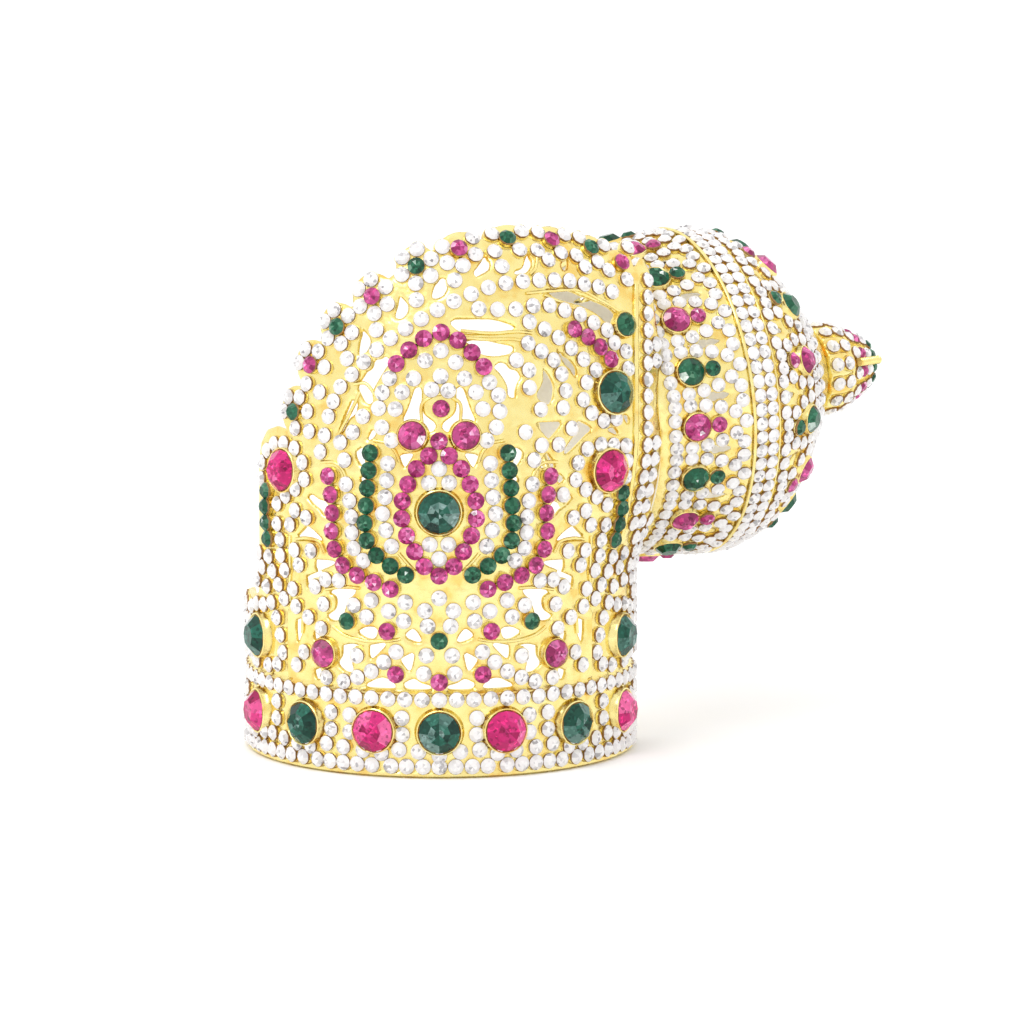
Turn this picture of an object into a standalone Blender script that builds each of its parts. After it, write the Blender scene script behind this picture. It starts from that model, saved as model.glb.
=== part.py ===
"""A jeweled crown with a side bun, modelled in metres with +Z up.

The crown is a pierced, gold-plated sheet. It is cut flat, then bent to a half cylinder that is open at
the back, leans back at the top and turns at its right edge into the neck of a hollow domed bun.
The flat cutting is drawn on a chart: s runs along the sheet from the middle of the front, to the
right, and h is the height above the bottom rim. All sizes below are millimetres unless a name says
otherwise.
"""
import math

import bmesh
import bpy
import numpy as np
from mathutils import Matrix, Vector

MM = 0.001

# Gaps between pieces
FIT_GAP = 0.3
CUP_GAP = 0.4               # under the strings, whose straight cups lie on a bent face

# Sheet
SHELL_RADIUS = 38.4
SHEET_THICK = 1.0
BACK_EDGE = 66.0            # chart reach of the band's two ends
BAND_HEIGHT = 17.5
EAR_HEIGHT = 31.5
TIER_EDGE = 47.0            # chart reach of the middle tier, on the left
TIER_HEIGHT = 67.0
NECK_EDGE = 61.0            # chart reach of the neck, before the bun trims it
NECK_HEIGHT = 99.0
NECK_FOOT = 46.0
CREST_ROOM = 5.0            # what the blank reaches past the highest scallop
RULE_ACROSS = 6.2           # spacing of the lines that the sheet is bent along
RULE_UP = 6.0
LEAN_START = 45.0
LEAN_DEPTH = 14.0
LEAN_HEIGHT = 63.0
ROLL_START = 97.0
ROLL_BEND = 0.045
ROLL_FROM = -2.0            # chart place where the crest starts to roll back, and its spread
ROLL_SPREAD = 15.0
ROLL_DROP_FROM = 20.0       # past this place the roll starts lower, by this share of the distance
ROLL_DROP = 0.22
FLAT_FROM = 22.1            # chart place where the right side starts to flatten
FLAT_SHARE = 0.86
FLAT_LOW = 35.0
FLAT_HIGH = 66.0
NECK_LINE = 43.7            # chart place of the ridge where the neck turns
NECK_FACING_DEG = 55.0
NECK_TURN = 3.0
WRAP_LINE = 51.8            # chart place where the neck wraps back round the bun's rim
WRAP_FACING_DEG = 84.0
WRAP_TURN = 5.0
RIDGE_HALF = 0.7
RIDGE_RISE = 0.7
RIDGE_CLEAR = 1.6           # no other bend line lies nearer to a ridge than this
LIP_SHARE = 0.4             # how far the lip is raised at the very foot, of its full rise
PANEL_RIDGE = 33.5
NECK_RIDGE_TOP = 94.0
PIERCE_ROOM = 1.0           # what a cutter reaches past each face of the sheet

# Pattern: its tables give places and lengths in hundredths of this height
PATTERN_HEIGHT = 100.0
PATTERN_UNIT = PATTERN_HEIGHT / 100.0

# Stones
BIG_RADIUS = 4.05
MEDIUM_RADIUS = 2.7
SHOULDER_RADIUS = 2.3
SMALL_RADIUS = 1.6
STONE_SIDES = 8
TABLE_SHARE = 0.56
GIRDLE_SHARE = 0.22
CROWN_SHARE = 0.30
COLLET_RISE = 0.7
COLLET_RIM = 0.3
COLLET_SIDES = 10
CUP_RISE = 0.6
CUP_RIM = 0.12
CUP_FLAT = 0.62             # half the length of an octagonal cup's short sides
BAR_LEAST = 1.0             # cups further apart than this are joined by bars

# Bun
BUN_RADIUS = 33.2
BUN_LENGTH = 48.5
BUN_WALL = 0.6
BUN_YAW_DEG = 25.0
BUN_PITCH_DEG = 4.5
BUN_HEIGHT = 66.4           # chart height where the neck seats the bun's rim
SEAT_CLEAR = 0.74           # from the rim's outer face to the neck's outer face there
SEAT_ALONG = 0.67           # how far past that place the rim lies, along the bun's axis
BUN_SIDES = 36
COLLAR_WIDE = 1.4
COLLAR_THICK = 1.6
ROOM_SHARE = 0.7            # share of the bun's length that the neck is trimmed for
PETALS = 18
PETAL_PHASE_DEG = -17.0     # angles round the bun run from its front side, downwards
OUTER_PETALS = 14
OUTER_PHASE_DEG = 10.0
INNER_RING_ALONG = 7.2
OUTER_RING_ALONG = 34.4
INNER_LEAF = (11.6, 6.4, 1.9)      # place along the axis, length and width of the leaf gaps
OUTER_LEAF = (28.4, 4.6, 1.5)
FINIAL_RADIUS = 8.9
FINIAL_LENGTH = 13.7
FINIAL_WALL = 0.7
FINIAL_SIDES = 16

# Outline of the bun: place along its axis and radius, as shares of its length and greatest radius
BUN_PROFILE = (
    # along, radius
    (0.000, 0.900),
    (0.139, 0.930),
    (0.305, 0.960),
    (0.376, 0.970),
    (0.392, 0.989),
    (0.412, 0.972),
    (0.483, 0.973),
    (0.614, 0.905),
    (0.735, 0.755),
    (0.851, 0.530),
    (0.911, 0.430),
    (0.960, 0.340),
    (0.994, 0.275),
    (1.000, 0.265),
    (1.000, 0.130),
)

# Outline of the finial, as shares of its length and greatest radius
FINIAL_PROFILE = (
    # along, radius
    (0.00, 0.88),
    (0.06, 0.98),
    (0.36, 0.96),
    (0.50, 0.84),
    (0.55, 0.86),
    (0.62, 0.72),
    (0.84, 0.50),
    (0.95, 0.28),
    (1.00, 0.00),
)

# Corners of the band's ends and of the middle tier: how far in from the edge, how far below the top
EAR_CORNER = ((0.0, 3.5), (2.0, 1.0), (6.5, 0.0))
TIER_CORNER = ((0.0, 8.0), (1.4, 4.0), (4.4, 1.2), (8.5, 0.0))
EAR_NOTCH = ((3.0, 0.3), (0.5, 1.5), (0.0, 4.5))      # past the tier's edge, above the ear's top
NECK_CORNER = ((15.0, 0.0), (12.4, 2.5), (11.0, 8.0), (9.4, 15.0), (5.5, 20.0), (0.0, 23.0))

# Each scallop is an arc through these turns from its middle, as wide as this share of their spacing
SCALLOP_TURNS_DEG = (-75, -38, 0, 38, 75)
SCALLOP_SHARE = 0.49

# Scallops of the crest: pattern place of the middle, its height as a share of the crest's rise above
# the middle tier, how far the edge rises past it, and the colour
CREST_RISE = 40.0
SCALLOPS = (
    # s, share of the crest's rise, edge, colour
    (-31.6, 0.0875, 5.0, "green"),
    (-27.0, 0.3225, 4.9, "magenta"),
    (-20.6, 0.5150, 4.7, "green"),
    (-13.1, 0.6675, 4.6, "magenta"),
    (-4.4, 0.8150, 4.2, "green"),
    (3.7, 0.8950, 3.4, "magenta"),
    (13.4, 0.9275, 3.0, "green"),
    (22.9, 0.9100, 2.9, "magenta"),
    (32.3, 0.8575, 2.7, "green"),
    (39.8, 0.7775, 2.6, "magenta"),
)

# Main stones
BAND_MIDDLE = 0.53 * BAND_HEIGHT
EAR_MIDDLE = (BAND_HEIGHT + EAR_HEIGHT) / 2.0
MAIN_STONES = (
    # name, s, h, radius, colour
    ("band_stone_1", -0.688 * BACK_EDGE, BAND_MIDDLE, BIG_RADIUS, "magenta"),
    ("band_stone_2", -0.438 * BACK_EDGE, BAND_MIDDLE, BIG_RADIUS, "green"),
    ("band_stone_3", -0.1955 * BACK_EDGE, BAND_MIDDLE, BIG_RADIUS, "magenta"),
    ("band_stone_4", 0.0, BAND_MIDDLE, BIG_RADIUS, "green"),
    ("band_stone_5", 0.1955 * BACK_EDGE, BAND_MIDDLE, BIG_RADIUS, "magenta"),
    ("band_stone_6", 0.438 * BACK_EDGE, BAND_MIDDLE, BIG_RADIUS, "green"),
    ("band_stone_7", 0.688 * BACK_EDGE, BAND_MIDDLE, BIG_RADIUS, "magenta"),
    ("ear_stone_left", -0.682 * BACK_EDGE, EAR_MIDDLE, BIG_RADIUS, "green"),
    ("ear_stone_right", 0.682 * BACK_EDGE, EAR_MIDDLE, BIG_RADIUS, "green"),
    ("tier_stone_left", -0.743 * TIER_EDGE, 58.8 * PATTERN_UNIT, BIG_RADIUS, "magenta"),
    ("tier_stone_right", 0.847 * NECK_LINE, 58.8 * PATTERN_UNIT, BIG_RADIUS, "magenta"),
    ("centre_stone", 0.0, 52.8 * PATTERN_UNIT, BIG_RADIUS, "green"),
    ("shoulder_stone_big", 0.87 * NECK_LINE, 73.8 * PATTERN_UNIT, BIG_RADIUS, "green"),
    ("shoulder_stone_medium", 0.929 * NECK_LINE, 86.6 * PATTERN_UNIT, SHOULDER_RADIUS, "green"),
    ("flank_stone_left", -5.1 * PATTERN_UNIT, 67.6 * PATTERN_UNIT, MEDIUM_RADIUS, "magenta"),
    ("flank_stone_right", 5.1 * PATTERN_UNIT, 67.6 * PATTERN_UNIT, MEDIUM_RADIUS, "magenta"),
    ("panel_stone_left", -23.8 * PATTERN_UNIT, 23.8 * PATTERN_UNIT, MEDIUM_RADIUS, "magenta"),
    ("panel_stone_right", 23.8 * PATTERN_UNIT, 23.8 * PATTERN_UNIT, MEDIUM_RADIUS, "magenta"),
)

# Single small stones of the lower panel and the teardrop: pattern place and colour
MOTIF_STONES = (
    # s, h, colour
    (-18.4, 30.7, "green"),
    (-10.1, 29.2, "magenta"),
    (0.0, 27.5, "green"),
    (10.1, 29.2, "magenta"),
    (18.4, 30.7, "green"),
    (-8.4, 20.7, "magenta"),
    (0.0, 19.3, "magenta"),
    (8.4, 20.7, "magenta"),
    (0.4, 72.8, "magenta"),
)

# Strings of small stones: the pattern points that each runs through, its count of stones and colour
STRINGS = {
    # name: (points, stones, colour)
    "ogee_string": (
        ((0, 66.6), (-1.9, 63.8), (-4.2, 61.4), (-6.9, 55.6), (-6.7, 49.6), (-2.8, 42.2), (0, 40.4)),
        10, "magenta"),
    "inner_string": (
        ((-13.4, 64.0), (-14.1, 55.6), (-14.4, 48.0), (-11.8, 43.8), (-6.4, 40.5)), 9, "green"),
    "outer_string": (
        ((-22.6, 58.9), (-21.6, 52.4), (-21.6, 46.4), (-18.6, 41.2), (-9.4, 37.6)), 9, "magenta"),
    "arch_string": (
        ((-8.2, 81.2), (-4.4, 85.0), (0.3, 87.2), (5.0, 84.6), (8.6, 80.6)), 7, "magenta"),
    "shoulder_string": (
        ((28.2, 86.6), (33.4, 83.6), (37.0, 80.2)), 4, "magenta"),
    "side_string": (
        ((-40.9, 54.0), (-41.2, 49.6), (-40.2, 44.6)), 4, "green"),
}
CLOSED_STRING = "ogee_string"       # its points are its left half, from top to bottom
MIRRORED_STRINGS = ("inner_string", "outer_string", "side_string")

# Leaf-shaped gaps cut through the sheet, on the left half and mirrored to the right
MIRRORED_LEAVES = (
    # s, h, length, width, turn in degrees, bend
    (-24.4, 41.2, 4.8, 1.9, -6, 0.0),
    (-27.0, 38.1, 4.4, 1.7, 40, 0.0),
    (-20.4, 35.6, 6.0, 1.7, 4, 0.3),
    (-21.8, 32.3, 4.2, 2.3, 60, 0.0),
    (-14.7, 28.4, 4.4, 1.9, 12, 0.0),
    (-5.0, 28.5, 3.6, 2.1, 0, 0.0),
    (-18.9, 23.4, 5.4, 2.9, 80, 0.0),
    (-12.5, 25.1, 4.2, 1.9, 24, 0.0),
    (-6.3, 22.9, 3.6, 2.0, 70, 0.0),
    (-12.0, 18.9, 5.2, 1.3, 6, 0.0),
    (-4.3, 19.0, 4.6, 1.3, -6, 0.0),
    (-26.6, 27.6, 2.6, 1.4, 60, 0.0),
    (-26.6, 19.7, 2.8, 1.2, 110, 0.0),
    (-31.4, 27.2, 5.6, 1.8, 82, 0.0),
    (-26.4, 52.8, 5.6, 2.0, -25, 0.3),
    (-28.0, 47.3, 6.0, 2.2, 0, 0.3),
    (-16.9, 62.8, 4.0, 1.5, 102, 0.0),
    (-4.2, 72.9, 6.4, 2.2, 112, -0.3),
    (-8.6, 63.2, 2.4, 1.5, 0, 0.0),
    (-26.2, 57.4, 2.6, 1.2, 20, 0.0),
)

# Leaf-shaped gaps that have no mirror image
SINGLE_LEAVES = (
    # s, h, length, width, turn in degrees, bend
    (-18.4, 70.6, 7.2, 1.6, 68, 0.0),
    (-13.6, 67.6, 2.8, 1.2, 60, 0.0),
    (-7.2, 92.4, 3.8, 1.8, 100, 0.0),
    (-14.9, 86.6, 4.4, 1.7, 110, 0.0),
    (-13.6, 78.9, 8.6, 2.6, 50, 0.4),
    (-21.3, 79.9, 2.8, 1.3, 100, 0.0),
    (-0.3, 96.7, 3.4, 1.6, 82, 0.0),
    (8.7, 99.4, 4.2, 1.8, 60, 0.0),
    (17.2, 100.8, 5.6, 1.7, 66, 0.0),
    (26.8, 99.6, 4.2, 1.4, 80, 0.0),
    (8.6, 89.6, 12.6, 2.2, -4, 0.5),
    (12.4, 84.2, 6.2, 2.0, -4, 0.3),
    (31.0, 91.4, 16.6, 2.2, -17, 0.9),
    (13.6, 77.6, 7.0, 2.7, -58, 0.0),
    (22.2, 76.4, 6.8, 2.4, -76, 0.0),
    (27.0, 80.6, 5.6, 1.3, -42, 0.0),
    (22.8, 68.1, 4.4, 2.2, 0, 0.0),
    (30.4, 66.2, 6.4, 2.0, 32, 0.0),
)

# Colours: base colour, metallic, roughness
FINISHES = {
    "gold": ((0.95, 0.64, 0.12), 1.0, 0.22),
    "green": ((0.01, 0.22, 0.12), 0.0, 0.05),
    "magenta": ((0.75, 0.03, 0.27), 0.0, 0.05),
}


def smooth_step(value):
    """0 below 0, 1 above 1, and an even rise between."""
    t = np.clip(value, 0.0, 1.0)
    return t * t * (3.0 - 2.0 * t)


def facing(s, h):
    """The angle, in radians, by which the sheet is turned to the right at a chart place."""
    bend = (1.0 - FLAT_SHARE * smooth_step((h - FLAT_LOW) / (FLAT_HIGH - FLAT_LOW))) / SHELL_RADIUS
    angle = np.where(s < FLAT_FROM, s / SHELL_RADIUS,
                     FLAT_FROM / SHELL_RADIUS + (s - FLAT_FROM) * bend)
    at_neck = FLAT_FROM / SHELL_RADIUS + (NECK_LINE - FLAT_FROM) * bend
    turn = np.maximum(0.0, math.radians(NECK_FACING_DEG) - at_neck)
    at_wrap = at_neck + turn + (WRAP_LINE - NECK_LINE) * bend
    wrap = np.maximum(0.0, math.radians(WRAP_FACING_DEG) - at_wrap)
    return (angle + turn * smooth_step((s - NECK_LINE) / NECK_TURN)
            + wrap * smooth_step((s - WRAP_LINE) / WRAP_TURN))


def lean(s, h):
    """How far back the sheet lies at a chart place: the lean, and the roll along the crest."""
    back = LEAN_DEPTH * (np.maximum(0.0, h - LEAN_START) / LEAN_HEIGHT) ** 2
    start = ROLL_START - ROLL_DROP * np.maximum(0.0, s - ROLL_DROP_FROM)
    share = smooth_step((s - ROLL_FROM) / ROLL_SPREAD)
    return back + ROLL_BEND * share * np.maximum(0.0, h - start) ** 2


def on_sheet(s, h):
    """The point on the outer face of the bent sheet at each chart place, in millimetres."""
    s = np.atleast_1d(np.asarray(s, float))
    h = np.atleast_1d(np.asarray(h, float))
    steps = 64
    share = (np.arange(steps) + 0.5) / steps
    angle = facing(s[:, None] * share, h[:, None])
    x = s * np.cos(angle).mean(axis=1)
    y = s * np.sin(angle).mean(axis=1) - SHELL_RADIUS
    return np.stack([x, y + lean(s, h), h], axis=1)


def sheet_normal(s, h):
    """The outward unit normal of the bent sheet at each chart place."""
    step = 0.05
    along = on_sheet(s + step, h) - on_sheet(s - step, h)
    up = on_sheet(s, h + step) - on_sheet(s, h - step)
    normal = np.cross(along, up)
    return normal / np.linalg.norm(normal, axis=1, keepdims=True)


def frame_matrix(point, normal, forward):
    """A matrix that stands on point (mm), with Z along normal and X along forward."""
    z_axis = Vector(normal).normalized()
    y_axis = z_axis.cross(Vector(forward)).normalized()
    x_axis = y_axis.cross(z_axis)
    matrix = Matrix((x_axis, y_axis, z_axis)).transposed().to_4x4()
    matrix.translation = Vector(point) * MM
    return matrix


def sheet_frame(s, h, forward=(1.0, 0.0)):
    """The frame on the sheet at a chart place, with X along a direction of the chart."""
    place = np.array([float(s)]), np.array([float(h)])
    ahead = on_sheet(place[0] + forward[0] * 0.01, place[1] + forward[1] * 0.01)
    point = on_sheet(*place)
    return frame_matrix(point[0], sheet_normal(*place)[0], (ahead - point)[0])


def bun_matrix():
    """The bun's frame: its rim's centre, with Z along its axis and X towards the front."""
    yaw = math.radians(BUN_YAW_DEG)
    pitch = math.radians(BUN_PITCH_DEG)
    axis = Vector((math.cos(yaw) * math.cos(pitch), math.sin(yaw) * math.cos(pitch), math.sin(pitch)))
    near = axis.cross(Vector((0.0, 0.0, 1.0))).normalized()
    seat = Vector(on_sheet(WRAP_LINE, BUN_HEIGHT)[0])
    return frame_matrix(seat + axis * SEAT_ALONG - near * (bun_radius(0.0) + SEAT_CLEAR), axis, near)


def bun_radius(along):
    """The bun's outer radius at a distance along its axis from the rim."""
    shares = np.array(BUN_PROFILE)
    return float(np.interp(along / BUN_LENGTH, shares[:, 0], shares[:, 1])) * BUN_RADIUS


def bun_frame(along, angle_deg, forward):
    """A frame on the bun's outer face, in the bun's own space; forward is ring or axis."""
    angle = math.radians(angle_deg)
    radius = bun_radius(along)
    slope = (bun_radius(along + 0.5) - bun_radius(along - 0.5))
    outward = Vector((math.cos(angle), math.sin(angle), -slope))
    ring = Vector((-math.sin(angle), math.cos(angle), 0.0))
    point = (radius * math.cos(angle), radius * math.sin(angle), along)
    return frame_matrix(point, outward, ring if forward == "ring" else Vector((0.0, 0.0, 1.0)))


def make_material(name):
    """A Principled material with the finish's colour."""
    colour, metallic, roughness = FINISHES[name]
    material = bpy.data.materials.new(name)
    material.use_nodes = True
    shader = material.node_tree.nodes["Principled BSDF"]
    shader.inputs["Base Color"].default_value = (*colour, 1.0)
    shader.inputs["Metallic"].default_value = metallic
    shader.inputs["Roughness"].default_value = roughness
    material.diffuse_color = (*colour, 1.0)
    return material


def add_object(name, mesh, collection, finish=None, matrix=None):
    """Link a mesh as an object, with its material and its place under the crown's empty."""
    item = bpy.data.objects.new(name, mesh)
    collection.objects.link(item)
    if finish:
        mesh.materials.clear()
        mesh.materials.append(make_material(finish))
        item.parent = ROOT
    if matrix is not None:
        item.matrix_local = matrix
    return item


def mesh_from(bm, name):
    """Turn a bmesh into a mesh whose faces point out."""
    bmesh.ops.recalc_face_normals(bm, faces=bm.faces)
    mesh = bpy.data.meshes.new(name)
    bm.to_mesh(mesh)
    bm.free()
    return mesh


def evaluated_mesh(item):
    """The mesh of an object with its modifiers applied."""
    bpy.context.view_layer.update()
    graph = bpy.context.evaluated_depsgraph_get()
    return bpy.data.meshes.new_from_object(item.evaluated_get(graph), depsgraph=graph)


def add_boolean(item, cutter, operation):
    """Cut or join with another object, exactly."""
    modifier = item.modifiers.new(operation.lower(), "BOOLEAN")
    modifier.operation = operation
    modifier.solver = "EXACT"
    modifier.object = cutter


def hide_guide(item):
    """Mark an object as a cutter or guide."""
    item.hide_render = True
    item.display_type = "WIRE"


def add_prism(bm, outline, low, high):
    """Raise a flat outline of (s, h) points in mm into a closed prism from low to high."""
    corners = [bm.verts.new((s * MM, h * MM, low * MM)) for s, h in outline]
    face = bm.faces.new(corners)
    raised = bmesh.ops.extrude_face_region(bm, geom=[face])["geom"]
    top = [part for part in raised if isinstance(part, bmesh.types.BMVert)]
    bmesh.ops.translate(bm, vec=(0.0, 0.0, (high - low) * MM), verts=top)


def leaf_outline(s, h, length, width, turn_deg, bend):
    """A pointed leaf of eight corners about a chart place."""
    shares = ((-1, 0), (-0.5, 0.8), (0, 1), (0.5, 0.8), (1, 0), (0.5, -0.8), (0, -1), (-0.5, -0.8))
    corners = [(along * length / 2.0, side * width / 2.0 + bend * (1.0 - along * along))
               for along, side in shares]
    turn = math.radians(turn_deg)
    return [(s + x * math.cos(turn) - y * math.sin(turn), h + x * math.sin(turn) + y * math.cos(turn))
            for x, y in corners]


def scallop_places():
    """Each scallop's chart place and how far its edge rises past it, from left to right."""
    return [(s * PATTERN_UNIT, TIER_HEIGHT + share * CREST_RISE, edge * PATTERN_UNIT)
            for s, share, edge, _ in SCALLOPS]


def scallop_edge():
    """The crest's outline from left to right: an arc of five points round each scallop."""
    edge = []
    rows = [Vector(place) for place in scallop_places()]
    for index, row in enumerate(rows):
        before = rows[max(index - 1, 0)].xy
        after = rows[min(index + 1, len(rows) - 1)].xy
        chord = (after - before).normalized()
        outward = Vector((-chord.y, chord.x))
        spacing = min((row.xy - other).length for other in (before, after) if other != row.xy)
        for turn in SCALLOP_TURNS_DEG:
            across = math.sin(math.radians(turn)) * spacing * SCALLOP_SHARE
            out = math.cos(math.radians(turn)) * row.z
            edge.append(tuple(row.xy + chord * across + outward * out))
    return edge


def sheet_outline():
    """The outline of the flat sheet, counter-clockwise from the right end of the bottom rim."""
    ear = [(-BACK_EDGE + inward, EAR_HEIGHT - below) for inward, below in EAR_CORNER]
    notch = [(-TIER_EDGE - out, EAR_HEIGHT + above) for out, above in EAR_NOTCH]
    tier = [(-TIER_EDGE + inward, TIER_HEIGHT - below) for inward, below in TIER_CORNER]
    neck = [(NECK_EDGE - inward, NECK_HEIGHT - below) for inward, below in NECK_CORNER]
    neck += [(NECK_EDGE, NECK_FOOT), (NECK_EDGE, EAR_HEIGHT + EAR_NOTCH[-1][1])]
    right_ear = [(-s, h) for s, h in ear[::-1]]
    outline = [(-BACK_EDGE, 0.0)] + ear + notch + tier + scallop_edge() + neck + right_ear
    return (outline + [(BACK_EDGE, 0.0)])[::-1]


def ridge_lines():
    """The chart places of the upright ridges: left panel, right panel and neck."""
    return (-PANEL_RIDGE, PANEL_RIDGE, NECK_LINE)


def relief(s, h):
    """How far the sheet's face is raised at a chart place: the lip, the band's ridge, the ridges."""
    def tent(value, middle):
        return np.maximum(0.0, 1.0 - np.abs(value - middle) / RIDGE_HALF)
    lip = tent(h, RIDGE_HALF) + LIP_SHARE * (h < 0.01)
    raised = lip + tent(h, BAND_HEIGHT - RIDGE_HALF)
    panel = (h > BAND_HEIGHT) & (h < EAR_HEIGHT)
    raised = raised + np.where(panel, tent(np.abs(s), PANEL_RIDGE), 0.0)
    neck = (h > LEAN_START) & (h < NECK_RIDGE_TOP)
    return RIDGE_RISE * (raised + np.where(neck, tent(s, NECK_LINE), 0.0))


def collet_outline(s, h, radius):
    """A round collet's outline about a chart place."""
    turns = [2.0 * math.pi * (k + 0.5) / COLLET_SIDES for k in range(COLLET_SIDES)]
    return [(s + radius * math.cos(t), h + radius * math.sin(t)) for t in turns]


def flat_blank(collection):
    """The flat sheet as a slab, ruled with the lines that it bends along."""
    bm = bmesh.new()
    side = BACK_EDGE + PIERCE_ROOM
    top = max(h + edge for _, h, edge in scallop_places()) + CREST_ROOM
    add_prism(bm, [(-side, 0.0), (side, 0.0), (side, top), (-side, top)], 0.0, SHEET_THICK)
    half_count = int(BACK_EDGE / RULE_ACROSS)
    bends = [RULE_ACROSS * k for k in range(-half_count, half_count + 1)]
    for line in ridge_lines():
        bends = [s for s in bends if abs(s - line) > RIDGE_CLEAR]
        bends += [line - RIDGE_HALF, line, line + RIDGE_HALF]
    levels = [RIDGE_HALF, 2 * RIDGE_HALF, BAND_HEIGHT - 2 * RIDGE_HALF, BAND_HEIGHT - RIDGE_HALF,
              BAND_HEIGHT, EAR_HEIGHT] + list(np.arange(LEAN_START - RULE_UP, top - CREST_ROOM, RULE_UP))
    cuts = [((s * MM, 0, 0), (1, 0, 0)) for s in sorted(bends)]
    cuts += [((0, h * MM, 0), (0, 1, 0)) for h in levels]
    for point, direction in cuts:
        bmesh.ops.bisect_plane(bm, geom=bm.verts[:] + bm.edges[:] + bm.faces[:], dist=1e-7,
                               plane_co=point, plane_no=direction)
    return add_object("blank", mesh_from(bm, "blank"), collection)


def build_plate(parts, cutters):
    """The crown's sheet: collets soldered on, gaps pierced, outline sawn, then bent and trimmed."""
    blank = flat_blank(cutters)
    bm = bmesh.new()
    for _, s, h, radius, _ in MAIN_STONES:
        add_prism(bm, collet_outline(s, h, radius + COLLET_RIM), SHEET_THICK / 2, SHEET_THICK + COLLET_RISE)
    collets = add_object("collets", mesh_from(bm, "collets"), cutters)
    bm = bmesh.new()
    leaves = list(SINGLE_LEAVES)
    for s, h, length, width, turn, bend in MIRRORED_LEAVES:
        leaves += [(s, h, length, width, turn, bend), (-s, h, length, width, -turn, bend)]
    for s, h, length, width, turn, bend in leaves:
        gap = leaf_outline(s, h, length, width, turn, bend)
        outline = [(x * PATTERN_UNIT, y * PATTERN_UNIT) for x, y in gap]
        add_prism(bm, outline, -PIERCE_ROOM, SHEET_THICK + PIERCE_ROOM)
    gaps = add_object("gaps", mesh_from(bm, "gaps"), cutters)
    bm = bmesh.new()
    add_prism(bm, sheet_outline(), -PIERCE_ROOM, SHEET_THICK + COLLET_RISE + PIERCE_ROOM)
    outline = add_object("outline", mesh_from(bm, "outline"), cutters)
    add_boolean(blank, collets, "UNION")
    add_boolean(blank, gaps, "DIFFERENCE")
    add_boolean(blank, outline, "INTERSECT")
    bm = bmesh.new()
    bm.from_mesh(evaluated_mesh(blank))
    bmesh.ops.triangulate(bm, faces=bm.faces)
    flat = np.array([vert.co[:] for vert in bm.verts]) / MM
    on_face = np.abs(flat[:, 2] - SHEET_THICK) < 0.001
    depth = flat[:, 2] - SHEET_THICK + np.where(on_face, relief(flat[:, 0], flat[:, 1]), 0.0)
    bent = on_sheet(flat[:, 0], flat[:, 1]) + sheet_normal(flat[:, 0], flat[:, 1]) * depth[:, None]
    for vert, place in zip(bm.verts, bent):
        vert.co = place * MM
    plate = add_object("crown_plate", mesh_from(bm, "crown_plate"), parts, "gold")
    for item in (blank, collets, gaps, outline):
        bpy.data.objects.remove(item)
    room = turned("bun_room", bun_room_profile(), BUN_SIDES, cutters, bun_matrix())
    room.parent = ROOT
    hide_guide(room)
    add_boolean(plate, room, "DIFFERENCE")
    return plate


def turned(name, profile, sides, collection, matrix, finish=None, wall=0.0):
    """A turned piece from (radius, along) points in mm, which run from its top end to its foot."""
    mesh = bpy.data.meshes.new(name)
    corners = [(radius * MM, 0.0, along * MM) for radius, along in profile]
    mesh.from_pydata(corners, [(k, k + 1) for k in range(len(corners) - 1)], [])
    item = add_object(name, mesh, collection, finish, matrix)
    screw = item.modifiers.new("turn", "SCREW")
    screw.steps = sides
    screw.render_steps = sides
    screw.use_merge_vertices = True
    screw.merge_threshold = 0.00001
    screw.use_smooth_shade = True
    if wall:
        solid = item.modifiers.new("wall", "SOLIDIFY")
        solid.thickness = wall * MM
        solid.offset = -1.0
    return item


def bun_room_profile():
    """The room that the bun and its collar take, with their gap, closed at both ends on the axis."""
    start = -FIT_GAP - COLLAR_WIDE - FIT_GAP
    stones = INNER_RING_ALONG - MEDIUM_RADIUS - 2.0 * FIT_GAP
    far = BUN_LENGTH * ROOM_SHARE
    tall = CUP_GAP + FIT_GAP * 2.0 + CUP_RISE + MEDIUM_RADIUS * (GIRDLE_SHARE + CROWN_SHARE)
    return [(0.0, far), (BUN_RADIUS + tall, far), (bun_radius(stones) + tall, stones),
            (bun_radius(stones) + FIT_GAP, stones), (bun_radius(0.0) + FIT_GAP, 0.0),
            (bun_radius(0.0) + FIT_GAP, start), (0.0, start)]


def bun_leaf_cutters(collection):
    """The cutters of the leaf gaps between the bun's petals, as one object."""
    bm = bmesh.new()
    reach = 2.0 * PIERCE_ROOM
    rows = ((PETALS, PETAL_PHASE_DEG, INNER_LEAF), (OUTER_PETALS, OUTER_PHASE_DEG, OUTER_LEAF))
    for count, phase, (along, length, width) in rows:
        for index in range(count):
            angle = phase + 360.0 / count * (index + 0.5)
            before = len(bm.verts)
            add_prism(bm, leaf_outline(0.0, 0.0, length, width, 0.0, 0.0), -BUN_WALL - reach, reach)
            bm.verts.ensure_lookup_table()
            bmesh.ops.transform(bm, matrix=bun_frame(along, angle, "axis"), verts=bm.verts[before:])
    cutter = add_object("bun_gaps", mesh_from(bm, "bun_gaps"), collection)
    cutter.parent = ROOT
    cutter.matrix_local = bun_matrix()
    hide_guide(cutter)
    return cutter


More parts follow.
